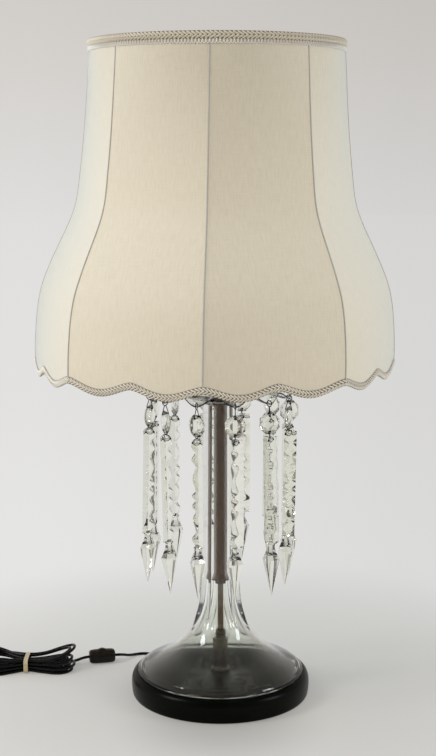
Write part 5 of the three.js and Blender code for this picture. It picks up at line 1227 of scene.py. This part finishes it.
acetate = fabric("pale_lining", (0.80, 0.78, 0.72), (0.72, 0.69, 0.62), 0.2, 3000, 0.05 * MM,
                 Sheen_Weight=0.3)
inner_gores = gore_cloth(LINING_COLUMNS, LINING_ROWS, lining_high, lining_bottom, LINING_INSET,
                         LINING_THICKNESS)
lining = finished("stretched_lining", inner_gores, "shade", "lining_cloth", acetate, "shade_lining")


# Frame: welded steel wire. One round ring stands at the top and one ring is bent to the scallops at the
# hem, with a rib behind each seam.
TOP_RING_STEPS, HEM_RING_STEPS, RIB_STEPS, HEM_WIRE_LIFT = 96, 256, 30, 2.6 * MM
wire_height = SHADE_TOP - 5.8 * MM
top_ring = [shade_spot(step * 360 / TOP_RING_STEPS, wire_height, FRAME_INSET)
            for step in range(TOP_RING_STEPS)]
hem_turns = [step * 360 / HEM_RING_STEPS + SEAM_TURN for step in range(HEM_RING_STEPS)]
hem_ring = [shade_spot(degrees, hem_height(degrees), FRAME_INSET) + Vector((0, 0, HEM_WIRE_LIFT))
            for degrees in hem_turns]
ribs = [[shade_spot(degrees, mixed(hem_height(degrees) + HEM_WIRE_LIFT, wire_height, step / RIB_STEPS),
                    FRAME_INSET) for step in range(RIB_STEPS + 1)] for degrees in seam_turns]
steel_wire = worn_material("frame_steel", (0.45, 0.44, 0.42), (0.25, 0.18, 0.12), 0.5, 200, 0.4, 0.6,
                           0.02 * MM, Metallic=1.0)
hoops = joined(wire([top_ring, hem_ring], FRAME_WIRE, closed=True, steps=1, roundness=2),
               wire(ribs, FRAME_WIRE * 0.9, steps=1, roundness=2))
shade_frame = finished("wire_frame", hoops, "shade", "frame_wire", steel_wire, "shade_frame")


# Braid: gimp glued over both edges, plaited from slanting yarns on a darker woven tape. The one at the
# top is of a darker copy of the hem's yarn, painted shade, with a soft looped edge below it. The one at the
# hem follows the scallops, and a fine grey cord runs along its upper edge.
def at_edge(degrees, bottom_at, top_at, share, out):
    return shade_spot(degrees, mixed(bottom_at(degrees), top_at(degrees), share), -out)


TAPE_OUT, TAPE_BACK = 0.45 * MM, 0.05 * MM
TAPE_SECTION = ((0.02, TAPE_OUT), (0.98, TAPE_OUT), (0.98, TAPE_BACK), (0.02, TAPE_BACK))
TAPE_COLUMNS, EDGE_STEPS = 512, 512
YARN_RUN = ((0, 0, 0.5 * MM), (0.45, 0.35, 1.15 * MM), (1.0, 0.75, 1.15 * MM), (1.35, 1.05, 0.6 * MM))
LOOP_RUN = ((0.0, 0.0), (0.15, 0.8), (0.5, 1.0), (0.85, 0.8), (1.0, 0.0))


def tape(bottom_at, top_at):
    def spot(column, row):
        degrees = SEAM_TURN + column * 360 / TAPE_COLUMNS
        return at_edge(degrees, bottom_at, top_at, *TAPE_SECTION[row])

    return spun(len(TAPE_SECTION), TAPE_COLUMNS, spot)


def plaited(bottom_at, top_at, count, strand, margin):
    yarns, pitch = [], 360 / count
    for step in range(count):
        degrees = SEAM_TURN + step * pitch
        for outer in (1 - margin, margin):
            yarns.append([at_edge(degrees + pitch * along, bottom_at, top_at,
                                  mixed(outer, 0.50, inwards), out) for along, inwards, out in YARN_RUN])
    return wire(yarns, strand, steps=1, roundness=0)


def looped_edge(bottom_at, count, drop, strand):
    loops, pitch = [], 360 / count
    for step in range(count):
        degrees = SEAM_TURN + step * pitch
        bottom = bottom_at(degrees) + 0.6 * MM
        loops.append([shade_spot(degrees + pitch * along, bottom - drop * down, -0.55 * MM)
                      for along, down in LOOP_RUN])
    return wire(loops, strand, steps=1, roundness=0)


tape_cloth = worn_material("brown_tape", (0.30, 0.22, 0.15), (0.19, 0.14, 0.09), 0.6, 700, 0.85, 0.95,
                           0.1 * MM)
yarn = worn_material("ecru_yarn", (0.80, 0.72, 0.58), (0.64, 0.55, 0.41), 0.6, 900, 0.75, 0.9, 0.1 * MM,
                     **SILK_SHEEN)
# Painted shade: a darker copy of the hem's yarn for the top braid.
top_shaded_yarn = worn_material("top_shaded_yarn", (0.70, 0.61, 0.46), (0.52, 0.43, 0.31), 0.6, 900, 0.75, 0.9,
                           0.1 * MM, **SILK_SHEEN)
pale_yarn = worn_material("pale_yarn", (0.76, 0.71, 0.62), (0.66, 0.60, 0.50), 0.6, 900, 0.85, 0.95, 0.1 * MM,
                          Sheen_Weight=0.8)
TOP_BRAID, HEM_BRAID, HEM_OVERLAP = 8.6 * MM, 7.4 * MM, 0.4 * MM


def top_edge(degrees):
    return SHADE_TOP


def top_braid_low(degrees):
    return SHADE_TOP - TOP_BRAID


def hem_low(degrees):
    return hem_height(degrees) - HEM_OVERLAP


def hem_braid_high(degrees):
    return hem_height(degrees) + HEM_BRAID


def trim(name, bm, material, *replaced, crisp=70):
    return finished(name, bm, "shade", "braid", material, *replaced, crisp=crisp)


trim("top_braid_tape", tape(top_braid_low, top_edge), tape_cloth, "top_gimp", crisp=35)
trim("top_braid_yarns", plaited(top_braid_low, top_edge, 190, 1.02 * MM, 0.13), top_shaded_yarn)
trim("top_braid_loops", looped_edge(top_braid_low, 250, 4.6 * MM, 0.62 * MM), pale_yarn)
trim("hem_braid_tape", tape(hem_low, hem_braid_high), tape_cloth, "bottom_gimp", crisp=35)
trim("hem_braid_yarns", plaited(hem_low, hem_braid_high, 320, 0.80 * MM, 0.10), yarn)
# The grey cord stands partly for the tape's edge and partly for a painted shadow line along the braid's top.
edge_line = [at_edge(step * 360 / EDGE_STEPS, hem_low, hem_braid_high, 1, 0.1 * MM)
             for step in range(EDGE_STEPS)]
trim("hem_braid_edge", wire([edge_line], 0.4 * MM, closed=True, steps=1), grey_cord, crisp=35)


# Spider and finial: three brass arms carry the frame on a washer over the stud, and a turned brass
# finial screws down on it.
SPIDER_RING, SPIDER_SHEET, SPIDER_WIRE, ARMS = 13 * MM, 2 * MM, 1.6 * MM, 3
ARM_RUN = ((0.16, 0.05), (0.47, 0.5), (0.77, 0.95), (0.89, 1), (1, 1))
finial_low, finial_high = (corner.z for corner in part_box("finial"))
spider_low = finial_low - SEAT - SPIDER_SHEET
arms = []
for arm in range(ARMS):
    degrees = SEAM_TURN + 180 + arm * 360 / ARMS
    start = around(degrees, SPIDER_RING - 1.5 * MM, spider_low)
    end = shade_spot(degrees, wire_height, FRAME_INSET + FRAME_WIRE + SEAT)
    arms.append([start] + [Vector((*start.xy.lerp(end.xy, out), mixed(spider_low, wire_height, up)))
                           for out, up in ARM_RUN])
stud_hole = STUD_RADIUS + SEAT
washer = turned(softened(tube(stud_hole, SPIDER_RING, spider_low, spider_low + SPIDER_SHEET), 0.4 * MM))
spider = joined(wire(arms, SPIDER_WIRE, steps=8, roundness=3), washer)
finished("spider", spider, "shade", "old_brass", old_brass, "shade_spider")
FINIAL, FINIAL_HOLE = 7 * MM, finial_low + 12 * MM
lathed("finial_knob", [
    (0, FINIAL_HOLE), (stud_hole, FINIAL_HOLE), (stud_hole, finial_low), (FINIAL, finial_low),
    (FINIAL, finial_low + 2.6 * MM), (5.6 * MM, finial_low + 3.6 * MM), (4.4 * MM, finial_low + 5.6 * MM),
    (5.2 * MM, finial_low + 7.2 * MM), (6.6 * MM, finial_low + 9.6 * MM), (6.9 * MM, finial_low + 12 * MM),
    (6.4 * MM, finial_low + 14.6 * MM), (4.8 * MM, finial_low + 17.4 * MM),
    (3.2 * MM, finial_low + 18.8 * MM), (3.0 * MM, finial_low + 19.8 * MM), (2.2 * MM, finial_low + 21 * MM),
    (0, finial_high)], 0.4 * MM,
    "finial", "old_brass", old_brass, "finial", crisp=40)
